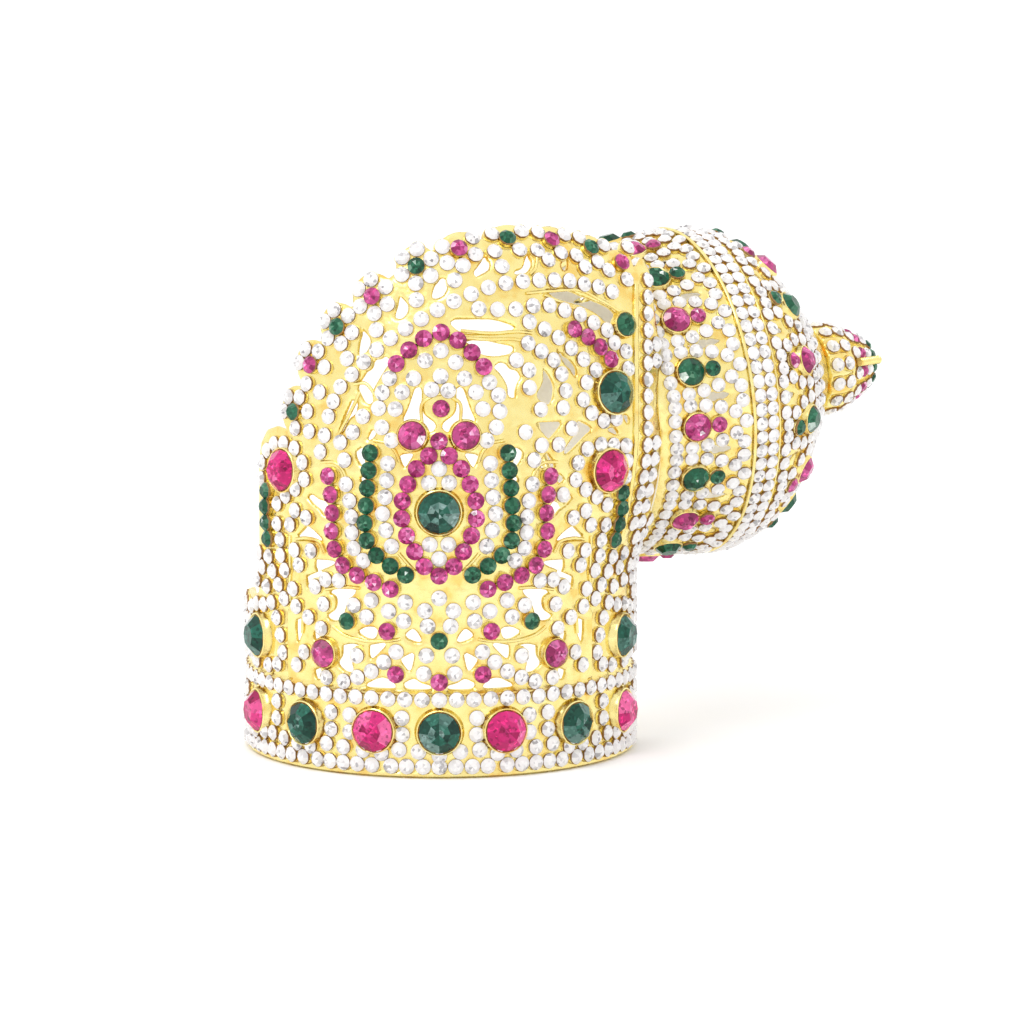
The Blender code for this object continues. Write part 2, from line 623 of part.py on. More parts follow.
def build_bun(parts, cutters):
    """The bun: the wire collar on its rim, the pierced dome and the finial."""
    place = bun_matrix()
    outer = bun_radius(0.0)
    low = -FIT_GAP - COLLAR_WIDE
    middle = -FIT_GAP - COLLAR_WIDE / 2.0
    ring = [(outer - COLLAR_THICK, middle), (outer - COLLAR_THICK * 0.75, -FIT_GAP),
            (outer - COLLAR_THICK * 0.25, -FIT_GAP), (outer, middle),
            (outer - COLLAR_THICK * 0.25, low), (outer - COLLAR_THICK * 0.75, low),
            (outer - COLLAR_THICK, middle)]
    turned("bun_collar", ring, BUN_SIDES, parts, place, "gold")
    profile = [(radius * BUN_RADIUS, share * BUN_LENGTH) for share, radius in BUN_PROFILE[::-1]]
    dome = turned("bun_dome", profile, BUN_SIDES, parts, place, "gold", BUN_WALL)
    add_boolean(dome, bun_leaf_cutters(cutters), "DIFFERENCE")
    shift = Matrix.Translation((0.0, 0.0, (BUN_LENGTH + FIT_GAP) * MM))
    outline = [(radius * FINIAL_RADIUS, share * FINIAL_LENGTH) for share, radius in FINIAL_PROFILE[::-1]]
    turned("finial", outline, FINIAL_SIDES, parts, place @ shift, "gold", FINIAL_WALL)


def gem_mesh(name, radius):
    """A flat-backed cut stone: girdle, eight crown facets and a table, standing on Z = 0."""
    bm = bmesh.new()
    bmesh.ops.create_circle(bm, cap_ends=True, segments=STONE_SIDES, radius=radius * MM)
    face = bm.faces[:][0]
    for rise, share in ((radius * GIRDLE_SHARE, 1.0), (radius * CROWN_SHARE, TABLE_SHARE)):
        raised = bmesh.ops.extrude_face_region(bm, geom=[face])["geom"]
        if share < 1.0:
            bm.faces.remove(face)
        face = [part for part in raised if isinstance(part, bmesh.types.BMFace)][0]
        bmesh.ops.translate(bm, vec=(0, 0, rise * MM), verts=face.verts)
        if share < 1.0:
            middle = face.calc_center_median()
            bmesh.ops.scale(bm, vec=(share, share, 1.0), space=Matrix.Translation(-middle), verts=face.verts)
    return mesh_from(bm, name)


def build_stones(parts):
    """The main stones, the crest's stones and the single small stones, each a piece of its own."""
    rows = [(name, s, h, radius, colour, COLLET_RISE) for name, s, h, radius, colour in MAIN_STONES]
    for index, (s, h, _) in enumerate(scallop_places()):
        rows.append((f"crest_stone_{index + 1}", s, h, SMALL_RADIUS, SCALLOPS[index][3], 0.0))
    for index, (s, h, colour) in enumerate(MOTIF_STONES):
        place = (s * PATTERN_UNIT, h * PATTERN_UNIT)
        rows.append((f"motif_stone_{index + 1}", *place, SMALL_RADIUS, colour, 0.0))
    for name, s, h, radius, colour, seat in rows:
        place = sheet_frame(s, h) @ Matrix.Translation((0, 0, (seat + FIT_GAP) * MM))
        add_object(name, gem_mesh(name, radius), parts, colour, place)


def smooth_path(points, count):
    """Places at even steps along a smooth curve through the points, from its start to its end."""
    knots = np.array(points, float)
    knots = np.vstack([2 * knots[0] - knots[1], knots, 2 * knots[-1] - knots[-2]])
    fine = []
    for a, b, c, d in zip(knots, knots[1:], knots[2:], knots[3:]):
        for t in np.arange(0.0, 1.0, 0.05):
            fine.append(0.5 * (2 * b + (c - a) * t + (2 * a - 5 * b + 4 * c - d) * t * t
                               + (3 * b - a - 3 * c + d) * t ** 3))
    fine = np.array(fine + [knots[-2]])
    run = np.concatenate([[0.0], np.cumsum(np.linalg.norm(np.diff(fine, axis=0), axis=1))])
    at = np.linspace(0.0, run[-1], count)
    return [(float(np.interp(d, run, fine[:, 0])), float(np.interp(d, run, fine[:, 1]))) for d in at]


def string_places(name, sign):
    """A string's chart places in order, on the left half for sign 1 or mirrored for sign -1."""
    points, count, _ = STRINGS[name]
    places = [(s * sign * PATTERN_UNIT, h * PATTERN_UNIT) for s, h in smooth_path(points, count)]
    if name == CLOSED_STRING:
        places += [(-s, h) for s, h in places[-2:0:-1]]
    return places


def string_frames(places, closed):
    """The frame on the sheet of each place, with X along the string."""
    frames = []
    for index, (s, h) in enumerate(places):
        before = places[index - 1] if closed or index else places[index]
        after = places[(index + 1) % len(places)] if closed or index + 1 < len(places) else places[index]
        frames.append(sheet_frame(s, h, (after[0] - before[0], after[1] - before[1])))
    return frames


def cup_chain(name, frames, radius, closed, parts, colour, matrix=None):
    """A string of stones, each in an octagonal cup that meets the next cup or a short bar to it."""
    bm = bmesh.new()
    count = len(frames)
    levels = (CUP_GAP, CUP_GAP + CUP_RISE)
    side = radius + CUP_RIM
    origins = [frame.translation for frame in frames]
    gaps = [(origins[(k + 1) % count] - origins[k]).length / MM for k in range(count)]
    touching = max(gaps[:count if closed else count - 1]) < 2.0 * side + BAR_LEAST

    def edge_at(frame, x, level):
        return [frame @ (Vector((x, y, level)) * MM) for y in (-CUP_FLAT, CUP_FLAT)]

    def ring_points(index, level):
        frame = frames[index]
        ends = []
        for step, x in ((-1, -side), (1, side)):
            other = (index + step) % count
            inner = closed or 0 <= index + step < count
            if touching and inner:
                mine = edge_at(frame, x, level)
                theirs = edge_at(frames[other], -x, level)
                ends.append([(a + b) / 2.0 for a, b in zip(mine, theirs)])
            else:
                ends.append(edge_at(frame, x, level))
        low = [frame @ (Vector((x, -side, level)) * MM) for x in (-CUP_FLAT, CUP_FLAT)]
        high = [frame @ (Vector((x, side, level)) * MM) for x in (CUP_FLAT, -CUP_FLAT)]
        return [ends[0][0], *low, *ends[1], *high, ends[0][1]]

    rings = []
    for index in range(count):
        pair = []
        for level_index, level in enumerate(levels):
            verts = [bm.verts.new(point) for point in ring_points(index, level)]
            pair.append(verts)
        rings.append(pair)
    for index, (foot, rim) in enumerate(rings):
        inner_before = closed or index > 0
        inner_after = closed or index < count - 1
        bm.faces.new(foot[::-1])
        for k in range(8):
            if (k == 7 and inner_before) or (k == 3 and inner_after):
                continue
            bm.faces.new((foot[k], foot[(k + 1) % 8], rim[(k + 1) % 8], rim[k]))
        top = radius * (GIRDLE_SHARE + CROWN_SHARE) + CUP_RISE
        table = radius * TABLE_SHARE
        turns = [math.radians(202.5 + 45.0 * k) for k in range(8)]
        corners = [Vector((table * math.cos(t), table * math.sin(t), top)) for t in turns]
        crown = [bm.verts.new(frames[index] @ (corner * MM)) for corner in corners]
        bm.faces.new(crown)
        for k in range(8):
            bm.faces.new((rim[k], rim[(k + 1) % 8], crown[(k + 1) % 8], crown[k]))
    if not touching:
        for index in range(count if closed else count - 1):
            foot, rim = rings[index]
            next_foot, next_rim = rings[(index + 1) % count]
            bm.faces.new((foot[3], next_foot[0], next_rim[0], rim[3]))
            bm.faces.new((next_foot[7], foot[4], rim[4], next_rim[7]))
            bm.faces.new((rim[3], next_rim[0], next_rim[7], rim[4]))
            bm.faces.new((foot[4], next_foot[7], next_foot[0], foot[3]))
    bmesh.ops.remove_doubles(bm, verts=bm.verts, dist=1e-6)
    bmesh.ops.triangulate(bm, faces=bm.faces)
    return add_object(name, mesh_from(bm, name), parts, colour, matrix)


def build_strings(parts):
    """The strings of small stones on the sheet, and the two rings of stones on the bun."""
    for name, (_, _, colour) in STRINGS.items():
        sides = ((1, "_left"), (-1, "_right")) if name in MIRRORED_STRINGS else ((1, ""),)
        for sign, suffix in sides:
            closed = name == CLOSED_STRING
            frames = string_frames(string_places(name, sign), closed)
            cup_chain(name + suffix, frames, SMALL_RADIUS, closed, parts, colour)
    rings = (("bun_inner_ring", PETALS, PETAL_PHASE_DEG, INNER_RING_ALONG),
             ("bun_outer_ring", OUTER_PETALS, OUTER_PHASE_DEG, OUTER_RING_ALONG))
    for name, count, phase, along in rings:
        frames = [bun_frame(along, phase + 360.0 / count * k, "ring") for k in range(count)]
        cup_chain(name, frames, MEDIUM_RADIUS, True, parts, "magenta", bun_matrix())


def stand_on_origin(parts):
    """Move the crown so that the middle of its foot is the origin."""
    bpy.context.view_layer.update()
    graph = bpy.context.evaluated_depsgraph_get()
    corners = []
    for item in parts.objects:
        if item.type == "MESH":
            shape = item.evaluated_get(graph)
            corners += [shape.matrix_world @ vert.co for vert in shape.data.vertices]
    low = [min(corner[k] for corner in corners) for k in range(3)]
    high = [max(corner[k] for corner in corners) for k in range(3)]
    ROOT.location = (-(low[0] + high[0]) / 2.0, -(low[1] + high[1]) / 2.0, -low[2])


for old in list(bpy.data.objects):
    bpy.data.objects.remove(old)
PARTS = bpy.data.collections.new("jeweled_crown")
CUTTERS = bpy.data.collections.new("cutters")
for group in (PARTS, CUTTERS):
    bpy.context.scene.collection.children.link(group)
ROOT = bpy.data.objects.new("crown_axis", None)
PARTS.objects.link(ROOT)

build_plate(PARTS, CUTTERS)
build_bun(PARTS, CUTTERS)
build_stones(PARTS)
build_strings(PARTS)
stand_on_origin(PARTS)
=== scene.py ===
"""The looks of a jeweled crown with a side bun: a pierced, gold-plated sheet set with faceted glass.

The work follows the maker's: the photographer's table first, then the sheet, its stones and the bun.
Lengths are millimetres until a mesh is made. The sheet is drawn on a chart: s runs along the sheet
from the middle of the front, to the right, and h is the height above the bottom rim.
"""
import math

import bmesh
import bpy
import numpy as np
from mathutils import Matrix, Vector


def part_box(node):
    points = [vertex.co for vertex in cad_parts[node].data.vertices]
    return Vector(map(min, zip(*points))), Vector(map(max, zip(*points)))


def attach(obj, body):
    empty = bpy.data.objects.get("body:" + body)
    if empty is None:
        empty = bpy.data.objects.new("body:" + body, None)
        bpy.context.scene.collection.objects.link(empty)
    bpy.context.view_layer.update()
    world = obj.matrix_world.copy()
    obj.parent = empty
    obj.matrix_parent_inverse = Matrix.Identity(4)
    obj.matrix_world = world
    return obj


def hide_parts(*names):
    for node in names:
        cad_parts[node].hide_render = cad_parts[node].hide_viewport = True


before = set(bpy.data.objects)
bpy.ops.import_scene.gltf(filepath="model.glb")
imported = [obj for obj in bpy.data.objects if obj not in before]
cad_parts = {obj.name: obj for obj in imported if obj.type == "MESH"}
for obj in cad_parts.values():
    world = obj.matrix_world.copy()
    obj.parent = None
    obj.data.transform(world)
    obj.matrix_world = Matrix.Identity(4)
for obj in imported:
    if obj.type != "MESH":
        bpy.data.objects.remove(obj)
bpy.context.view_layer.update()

# The photographer's table: a white floor with no edge in sight, an even white surround that is a
# little dimmer behind the camera, and one soft lamp from above on the left, so that the top facet of
# each stone shines and its lower right side is dark.
MM = 0.001
BODY = "root"
VIEW_TARGET = Vector((-10.147, -7.406, 46.8))
VIEW_DISTANCE = 1500.0
VIEW_ELEVATION = math.radians(9.0)
FRAME_WIDTH = 204.8             # what the square frame takes in at the target
SENSOR = 36.0
FLOOR_HALF = 6000.0
LAMP_PLACE = Vector((-500.0, -700.0, 1100.0))
LAMP_SIZE = 0.6
LAMP_WATTS = 5.0
SURROUND = 1.17
SURROUND_FRONT = 1.06


class Wire:
    """A socket of a node tree. Arithmetic on it adds Math nodes."""

    def __init__(self, tree, socket=None):
        self.tree = tree
        self.socket = socket

    def node(self, kind, settings=None, inputs=None, out=0):
        """Add a node: its settings first, then its sockets by name or place, as values or links."""
        made = self.tree.nodes.new(kind)
        for key, value in (settings or {}).items():
            if key == "stops":
                ramp = made.color_ramp
                while len(ramp.elements) < len(value):
                    ramp.elements.new(0.5)
                for stop, (place, colour) in zip(ramp.elements, value):
                    stop.position = place
                    stop.color = (*colour, 1.0)
            else:
                setattr(made, key, value)
        for key, value in (inputs or {}).items():
            if isinstance(value, Wire):
                self.tree.links.new(value.socket, made.inputs[key])
            else:
                made.inputs[key].default_value = value
        return Wire(self.tree, made.outputs[out]) if len(made.outputs) else None

    def maths(self, operation, first, second=0.0):
        return self.node("ShaderNodeMath", {"operation": operation}, {0: first, 1: second})

    def __add__(self, other):
        return self.maths("ADD", self, other)

    __radd__ = __add__

    def __sub__(self, other):
        return self.maths("SUBTRACT", self, other)

    def __rsub__(self, other):
        return self.maths("SUBTRACT", other, self)

    def __mul__(self, other):
        return self.maths("MULTIPLY", self, other)

    __rmul__ = __mul__


def new_material(name):
    """An empty node material and a wire to build it with."""
    material = bpy.data.materials.new(name)
    material.use_nodes = True
    material.node_tree.nodes.clear()
    return material, Wire(material.node_tree)


def finish_material(wire, shader_inputs):
    """End a material with a Principled shader."""
    shader = wire.node("ShaderNodeBsdfPrincipled", None, shader_inputs)
    wire.node("ShaderNodeOutputMaterial", None, {"Surface": shader})


def add_piece(name, mesh, slot=None, stands_for=()):
    """Link a finished mesh, whose place is in its points, and, when it has a slot, let it ride on the crown.
    """
    piece = bpy.data.objects.new(name, mesh)
    bpy.context.scene.collection.objects.link(piece)
    if slot:
        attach(piece, BODY)
    if stands_for:
        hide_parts(*stands_for)
    return piece


camera_data = bpy.data.cameras.new("camera")
camera_data.sensor_width = SENSOR
camera_data.lens = SENSOR * VIEW_DISTANCE / FRAME_WIDTH
camera = bpy.data.objects.new("camera", camera_data)
bpy.context.scene.collection.objects.link(camera)
view_back = Vector((0.0, -math.cos(VIEW_ELEVATION), math.sin(VIEW_ELEVATION)))
camera.location = (VIEW_TARGET + view_back * VIEW_DISTANCE) * MM
camera.rotation_euler = view_back.to_track_quat("Z", "Y").to_euler()
bpy.context.scene.camera = camera
bpy.context.scene.view_settings.view_transform = "Standard"

lamp_data = bpy.data.lights.new("lamp", "AREA")
lamp_data.energy = LAMP_WATTS
lamp_data.size = LAMP_SIZE
lamp = bpy.data.objects.new("lamp", lamp_data)
bpy.context.scene.collection.objects.link(lamp)
lamp.location = LAMP_PLACE * MM
lamp.rotation_euler = (LAMP_PLACE - VIEW_TARGET).to_track_quat("Z", "Y").to_euler()

world = bpy.data.worlds.new("surround")
world.use_nodes = True
world.node_tree.nodes.clear()
bpy.context.scene.world = world
sky = Wire(world.node_tree)
sky_way = sky.node("ShaderNodeTexCoord", out="Generated")
sky_front = sky.node("ShaderNodeSeparateXYZ", None, {0: sky_way}, out="Y")
sky_light = sky.node("ShaderNodeMapRange", None, {
    "Value": sky_front, "From Min": -1.0, "From Max": 0.2, "To Min": SURROUND_FRONT, "To Max": SURROUND})
sky_shader = sky.node("ShaderNodeBackground", None, {"Color": (1, 1, 1, 1), "Strength": sky_light})
sky.node("ShaderNodeOutputWorld", None, {"Surface": sky_shader})

floor_mesh = bpy.data.meshes.new("floor")
floor_mesh.from_pydata(
    [(x * FLOOR_HALF * MM, y * FLOOR_HALF * MM, 0.0) for x, y in ((-1, -1), (1, -1), (1, 1), (-1, 1))],
    [], [(0, 1, 2, 3)])
floor_material, wire = new_material("white_floor")
finish_material(wire, {"Base Color": (0.98, 0.98, 0.98, 1.0), "Roughness": 0.9, "Specular IOR Level": 0.0})
floor_mesh.materials.append(floor_material)
add_piece("floor", floor_mesh)

# The sheet is gold-plated brass, sawn and pierced flat, then bent to a half cylinder that is open at the
# back. It leans back at the top, flattens on its right side and turns there into the neck that holds the
# bun. The stones' settings are soldered on.
SHELL_RADIUS = 38.4
SHEET_THICK = 1.0
BACK_EDGE = 66.0
BAND_HEIGHT = 17.5
EAR_HEIGHT = 31.5
TIER_EDGE = 47.0
TIER_HEIGHT = 67.0
NECK_EDGE = 61.0
NECK_HEIGHT = 99.0
NECK_FOOT = 46.0
LEAN_START = 45.0
LEAN_DEPTH = 14.0
LEAN_HEIGHT = 63.0
ROLL_START = 97.0
ROLL_BEND = 0.045
ROLL_FROM = -2.0
ROLL_SPREAD = 15.0
ROLL_DROP_FROM = 20.0
ROLL_DROP = 0.22
FLAT_FROM = 22.1
FLAT_SHARE = 0.86
FLAT_LOW = 35.0
FLAT_HIGH = 66.0
NECK_LINE = 43.7
NECK_FACING = math.radians(55.0)
NECK_TURN = 3.0
WRAP_LINE = 51.8
WRAP_FACING = math.radians(84.0)
WRAP_TURN = 5.0
FIT_GAP = 0.3
COLLET_RISE = 0.7
BIG_RADIUS = 4.05
MEDIUM_RADIUS = 2.7
SHOULDER_RADIUS = 2.3
SMALL_RADIUS = 1.6
GIRDLE_SHARE = 0.22
CROWN_SHARE = 0.30
STONE_HEIGHT = GIRDLE_SHARE + CROWN_SHARE

# The middle band stone stands on the chart's middle line, so the frame gives the sheet's axis from it
middle_low, middle_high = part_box("band_stone_4")
AXIS = np.array([
    (middle_low.x + middle_high.x) / MM / 2.0,
    middle_low.y / MM + SHELL_RADIUS + COLLET_RISE + FIT_GAP + BIG_RADIUS * STONE_HEIGHT,
    0.0])


def smooth_step(value):
    """0 below 0, 1 above 1, and an even rise between."""
    t = np.clip(value, 0.0, 1.0)
    return t * t * (3.0 - 2.0 * t)


def facing(s, h):
    """The angle by which the sheet is turned to the right at a chart place."""
    bend = (1.0 - FLAT_SHARE * smooth_step((h - FLAT_LOW) / (FLAT_HIGH - FLAT_LOW))) / SHELL_RADIUS
    angle = np.where(s < FLAT_FROM, s / SHELL_RADIUS,
                     FLAT_FROM / SHELL_RADIUS + (s - FLAT_FROM) * bend)
    at_neck = FLAT_FROM / SHELL_RADIUS + (NECK_LINE - FLAT_FROM) * bend
    turn = np.maximum(0.0, NECK_FACING - at_neck)
    at_wrap = at_neck + turn + (WRAP_LINE - NECK_LINE) * bend
    wrap = np.maximum(0.0, WRAP_FACING - at_wrap)
    return (angle + turn * smooth_step((s - NECK_LINE) / NECK_TURN)
            + wrap * smooth_step((s - WRAP_LINE) / WRAP_TURN))


def lean(s, h):
    """How far back the sheet lies at a chart place: the lean, and the roll along the crest."""
    back = LEAN_DEPTH * (np.maximum(0.0, h - LEAN_START) / LEAN_HEIGHT) ** 2
    start = ROLL_START - ROLL_DROP * np.maximum(0.0, s - ROLL_DROP_FROM)
    share = smooth_step((s - ROLL_FROM) / ROLL_SPREAD)
    return back + ROLL_BEND * share * np.maximum(0.0, h - start) ** 2


def on_sheet(s, h, level=None):
    """The point of the bent sheet at each chart place, or at a level above its outer face."""
    s = np.atleast_1d(np.asarray(s, float))
    h = np.atleast_1d(np.asarray(h, float))
    steps = 64
    share = (np.arange(steps) + 0.5) / steps
    angle = facing(s[:, None] * share, h[:, None])
    x = s * np.cos(angle).mean(axis=1)
    y = s * np.sin(angle).mean(axis=1) - SHELL_RADIUS
    point = np.stack([x, y + lean(s, h), h], axis=1) + AXIS
    if level is not None:
        point += sheet_normal(s, h) * np.asarray(level)[:, None]
    return point


def sheet_normal(s, h):
    """The outward unit normal of the bent sheet at each chart place."""
    step = 0.05
    along = on_sheet(s + step, h) - on_sheet(s - step, h)
    up = on_sheet(s, h + step) - on_sheet(s, h - step)
    normal = np.cross(along, up)
    return normal / np.linalg.norm(normal, axis=1, keepdims=True)


# Outline corners: how far in from the edge, how far below or above the height that they belong to
EAR_CORNER = ((0.0, 3.5), (0.7, 1.7), (2.0, 0.7), (4.0, 0.1), (6.5, 0.0))
EAR_NOTCH = ((3.0, 0.3), (0.5, 1.5), (0.0, 4.5))
TIER_CORNER = ((0.0, 8.0), (1.4, 4.0), (4.4, 1.2), (8.5, 0.0))
NECK_CORNER = ((15.0, 0.0), (12.4, 2.5), (11.0, 8.0), (9.4, 15.0), (5.5, 20.0), (0.0, 23.0))
CREST_RISE = 40.0
SCALLOPS = (
    # s, share of the crest's rise, edge, colour
    (-31.6, 0.0875, 5.0, "green"),
    (-27.0, 0.3225, 4.9, "magenta"),
    (-20.6, 0.5150, 4.7, "green"),
    (-13.1, 0.6675, 4.6, "magenta"),
    (-4.4, 0.8150, 4.2, "green"),
    (3.7, 0.8950, 3.4, "magenta"),
    (13.4, 0.9275, 3.0, "green"),
    (22.9, 0.9100, 2.9, "magenta"),
    (32.3, 0.8575, 2.7, "green"),
    (39.8, 0.7775, 2.6, "magenta"),
)
# Gaps sawn out of the sheet: the corners that each one's smooth edge runs through
MIRRORED_GAPS = (
    ((-26.9, 42.0), (-22.1, 42.1), (-22.3, 41.4), (-24.8, 40.3), (-26.7, 40.0)),
    ((-29.4, 38.2), (-27.6, 39.0), (-25.0, 40.0), (-25.2, 38.6), (-27.4, 37.2), (-28.7, 35.9)),
    ((-23.5, 35.9), (-21.3, 36.6), (-17.2, 36.8), (-17.5, 35.9), (-19.0, 34.2), (-20.1, 31.3), (-21.9, 30.3),
     (-23.9, 31.0), (-21.9, 32.6), (-21.7, 34.9)),
    ((-16.9, 28.5), (-14.7, 29.6), (-12.5, 29.4), (-13.0, 27.5), (-14.7, 27.4)),
    ((-6.9, 28.4), (-5.1, 29.6), (-3.5, 27.5), (-4.1, 27.0), (-6.1, 27.6)),
    ((-14.2, 26.0), (-10.7, 26.6), (-12.0, 24.8), (-13.6, 23.4), (-14.2, 24.0)),
    ((-20.2, 25.5), (-17.8, 26.0), (-15.2, 25.5), (-17.4, 24.6), (-18.0, 22.2), (-17.6, 20.7), (-19.3, 20.4),
     (-21.2, 21.8), (-20.3, 23.5)),
    ((-7.9, 23.5), (-5.2, 24.9), (-5.1, 23.5), (-5.8, 21.2), (-6.7, 21.8)),
    ((-15.0, 18.2), (-12.1, 19.6), (-10.3, 19.5), (-8.7, 18.3), (-9.4, 17.7), (-14.6, 17.7)),
    ((-7.2, 18.7), (-5.1, 19.7), (-3.6, 18.9), (-1.6, 18.3), (-2.2, 17.7), (-6.4, 17.7)),
    ((-27.3, 19.8), (-25.4, 20.4), (-25.6, 18.4), (-26.7, 18.3)),
    ((-27.4, 27.6), (-25.7, 27.2), (-26.3, 25.7), (-27.0, 26.0)),
    ((-32.4, 29.3), (-30.2, 29.8), (-30.0, 28.0), (-31.2, 25.5), (-32.0, 24.8), (-32.4, 27.0)),
    ((-29.1, 54.3), (-27.4, 54.7), (-25.8, 54.0), (-23.9, 53.6), (-23.0, 52.0), (-23.3, 50.7), (-24.4, 50.9),
     (-25.6, 52.0), (-27.4, 52.9)),
    ((-29.6, 47.9), (-29.0, 48.4), (-27.5, 47.9), (-25.5, 46.6), (-25.2, 45.9), (-29.8, 45.7), (-31.9, 45.8)),
    ((-17.1, 64.0), (-15.4, 64.9), (-15.1, 62.5), (-15.0, 60.9), (-16.1, 61.7), (-16.9, 62.9)),
    ((-16.1, 58.9), (-14.9, 59.4), (-15.3, 57.4)),
    ((-7.9, 63.8), (-5.2, 64.1), (-5.8, 62.8), (-6.8, 61.4), (-7.5, 62.6)),
    ((-4.7, 77.0), (-3.5, 76.6), (-3.3, 72.3), (-0.8, 70.0), (-1.0, 68.7), (-2.0, 68.4), (-3.8, 69.9),
     (-7.1, 70.2), (-6.1, 73.0)),
)
SINGLE_GAPS = (
    ((-18.0, 73.9), (-16.7, 73.6), (-17.0, 71.5), (-18.5, 70.2), (-20.0, 67.7), (-20.7, 67.4), (-19.9, 69.8),
     (-19.1, 71.6)),
    ((-13.5, 68.6), (-12.7, 67.8), (-13.5, 66.7), (-14.6, 66.4)),
    ((-12.8, 81.9), (-11.1, 82.8), (-9.8, 81.8), (-10.8, 80.2), (-12.2, 78.0), (-13.4, 75.8), (-13.4, 73.7),
     (-14.9, 73.6), (-16.2, 75.6), (-16.5, 76.6), (-14.9, 79.2)),
    ((-15.6, 87.6), (-14.0, 85.9), (-14.0, 84.6), (-15.2, 82.8), (-16.5, 82.3), (-16.2, 85.0)),
    ((-7.9, 94.3), (-6.3, 92.6), (-6.3, 91.1), (-7.5, 89.9), (-8.8, 90.3), (-8.2, 92.4)),
    ((-0.6, 97.1), (1.0, 97.7), (1.6, 96.2), (0.7, 94.3), (-1.4, 94.0)),
    ((7.1, 97.7), (8.7, 98.5), (9.9, 99.3), (10.0, 101.5), (9.2, 102.1), (7.9, 100.0), (6.9, 98.8)),
    ((18.1, 101.9), (18.9, 100.9), (18.8, 99.3), (17.5, 98.1), (15.5, 98.0), (15.3, 98.6), (16.9, 99.1),
     (17.5, 100.5)),
    ((26.2, 101.0), (27.4, 100.6), (27.3, 98.6), (26.4, 98.0), (25.9, 99.4)),
    ((2.1, 89.1), (3.1, 89.8), (6.3, 89.8), (10.9, 89.6), (15.1, 88.2), (14.7, 87.4), (10.9, 87.2),
     (6.3, 87.1), (3.8, 87.7)),
    ((5.2, 85.6), (8.1, 85.9), (11.9, 85.1), (15.1, 84.2), (14.1, 83.0), (10.6, 82.7), (8.1, 83.3),
     (6.4, 84.5)),
    ((22.3, 94.5), (26.9, 94.3), (30.0, 93.2), (33.8, 91.7), (37.5, 90.1), (39.2, 88.4), (38.8, 86.8),
     (37.2, 86.5), (35.2, 88.7), (31.3, 90.8), (28.1, 91.8), (24.6, 93.0)),
    ((10.8, 80.6), (12.5, 81.4), (15.0, 80.1), (16.7, 78.8), (15.9, 77.2), (15.4, 75.6), (15.4, 74.6),
     (14.0, 74.9), (13.7, 76.9), (12.4, 79.1)),
    ((21.6, 79.9), (23.2, 78.1), (24.2, 75.9), (23.5, 72.9), (21.6, 73.2), (20.2, 74.7), (21.6, 77.2)),
    ((24.9, 83.2), (28.1, 80.8), (29.5, 79.1), (29.3, 77.4), (28.1, 79.0), (26.5, 80.5)),
    ((19.9, 69.2), (20.6, 69.4), (25.3, 69.2), (26.1, 68.9), (25.6, 68.2), (23.5, 66.3), (22.7, 66.3),
     (21.0, 68.0)),
    ((29.9, 69.1), (31.0, 68.6), (33.3, 67.2), (31.6, 65.9), (27.6, 62.9), (26.5, 63.3), (28.0, 65.2),
     (29.4, 66.9)),
    ((22.5, 63.6), (23.6, 62.2), (24.5, 60.7), (23.6, 60.1), (20.8, 61.0)),
    ((25.2, 59.2), (26.8, 58.0), (25.6, 57.2), (24.8, 58.2)),
    ((36.6, 66.6), (38.6, 67.0), (40.0, 65.2), (38.2, 66.0)),
    ((40.8, 64.4), (42.4, 64.4), (42.6, 61.8)),
    ((40.8, 69.2), (42.4, 68.9), (42.2, 67.2)),
)
SCALLOP_TURNS = np.radians(np.arange(-75, 76, 15))
SCALLOP_SHARE = 0.49

BAND_MIDDLE = 0.53 * BAND_HEIGHT
EAR_MIDDLE = (BAND_HEIGHT + EAR_HEIGHT) / 2.0
BAND_SHARES = (-0.688, -0.438, -0.1955, 0.0, 0.1955, 0.438, 0.688)
MAIN_STONES = [
    # name, s, h, radius, colour
    *((f"band_stone_{k + 1}", share * BACK_EDGE, BAND_MIDDLE, BIG_RADIUS, ("magenta", "green")[k % 2])
      for k, share in enumerate(BAND_SHARES)),
    ("ear_stone_left", -0.682 * BACK_EDGE, EAR_MIDDLE, BIG_RADIUS, "green"),
    ("ear_stone_right", 0.682 * BACK_EDGE, EAR_MIDDLE, BIG_RADIUS, "green"),
    ("tier_stone_left", -0.743 * TIER_EDGE, 58.8, BIG_RADIUS, "magenta"),
    ("tier_stone_right", 0.847 * NECK_LINE, 58.8, BIG_RADIUS, "magenta"),
    ("centre_stone", 0.0, 52.8, BIG_RADIUS, "green"),
    ("shoulder_stone_big", 0.87 * NECK_LINE, 73.8, BIG_RADIUS, "green"),
    ("shoulder_stone_medium", 0.929 * NECK_LINE, 86.6, SHOULDER_RADIUS, "green"),
    ("flank_stone_left", -5.1, 67.6, MEDIUM_RADIUS, "magenta"),
    ("flank_stone_right", 5.1, 67.6, MEDIUM_RADIUS, "magenta"),
    ("panel_stone_left", -23.8, 23.8, MEDIUM_RADIUS, "magenta"),
    ("panel_stone_right", 23.8, 23.8, MEDIUM_RADIUS, "magenta"),
]
MOTIF_STONES = (
    # s, h, colour
    (-18.4, 30.7, "green"),
    (-10.1, 29.2, "magenta"),
    (0.0, 27.5, "green"),
    (10.1, 29.2, "magenta"),
    (18.4, 30.7, "green"),
    (-8.4, 20.7, "magenta"),
    (0.0, 19.3, "magenta"),
    (8.4, 20.7, "magenta"),
    (0.4, 72.8, "magenta"),
)
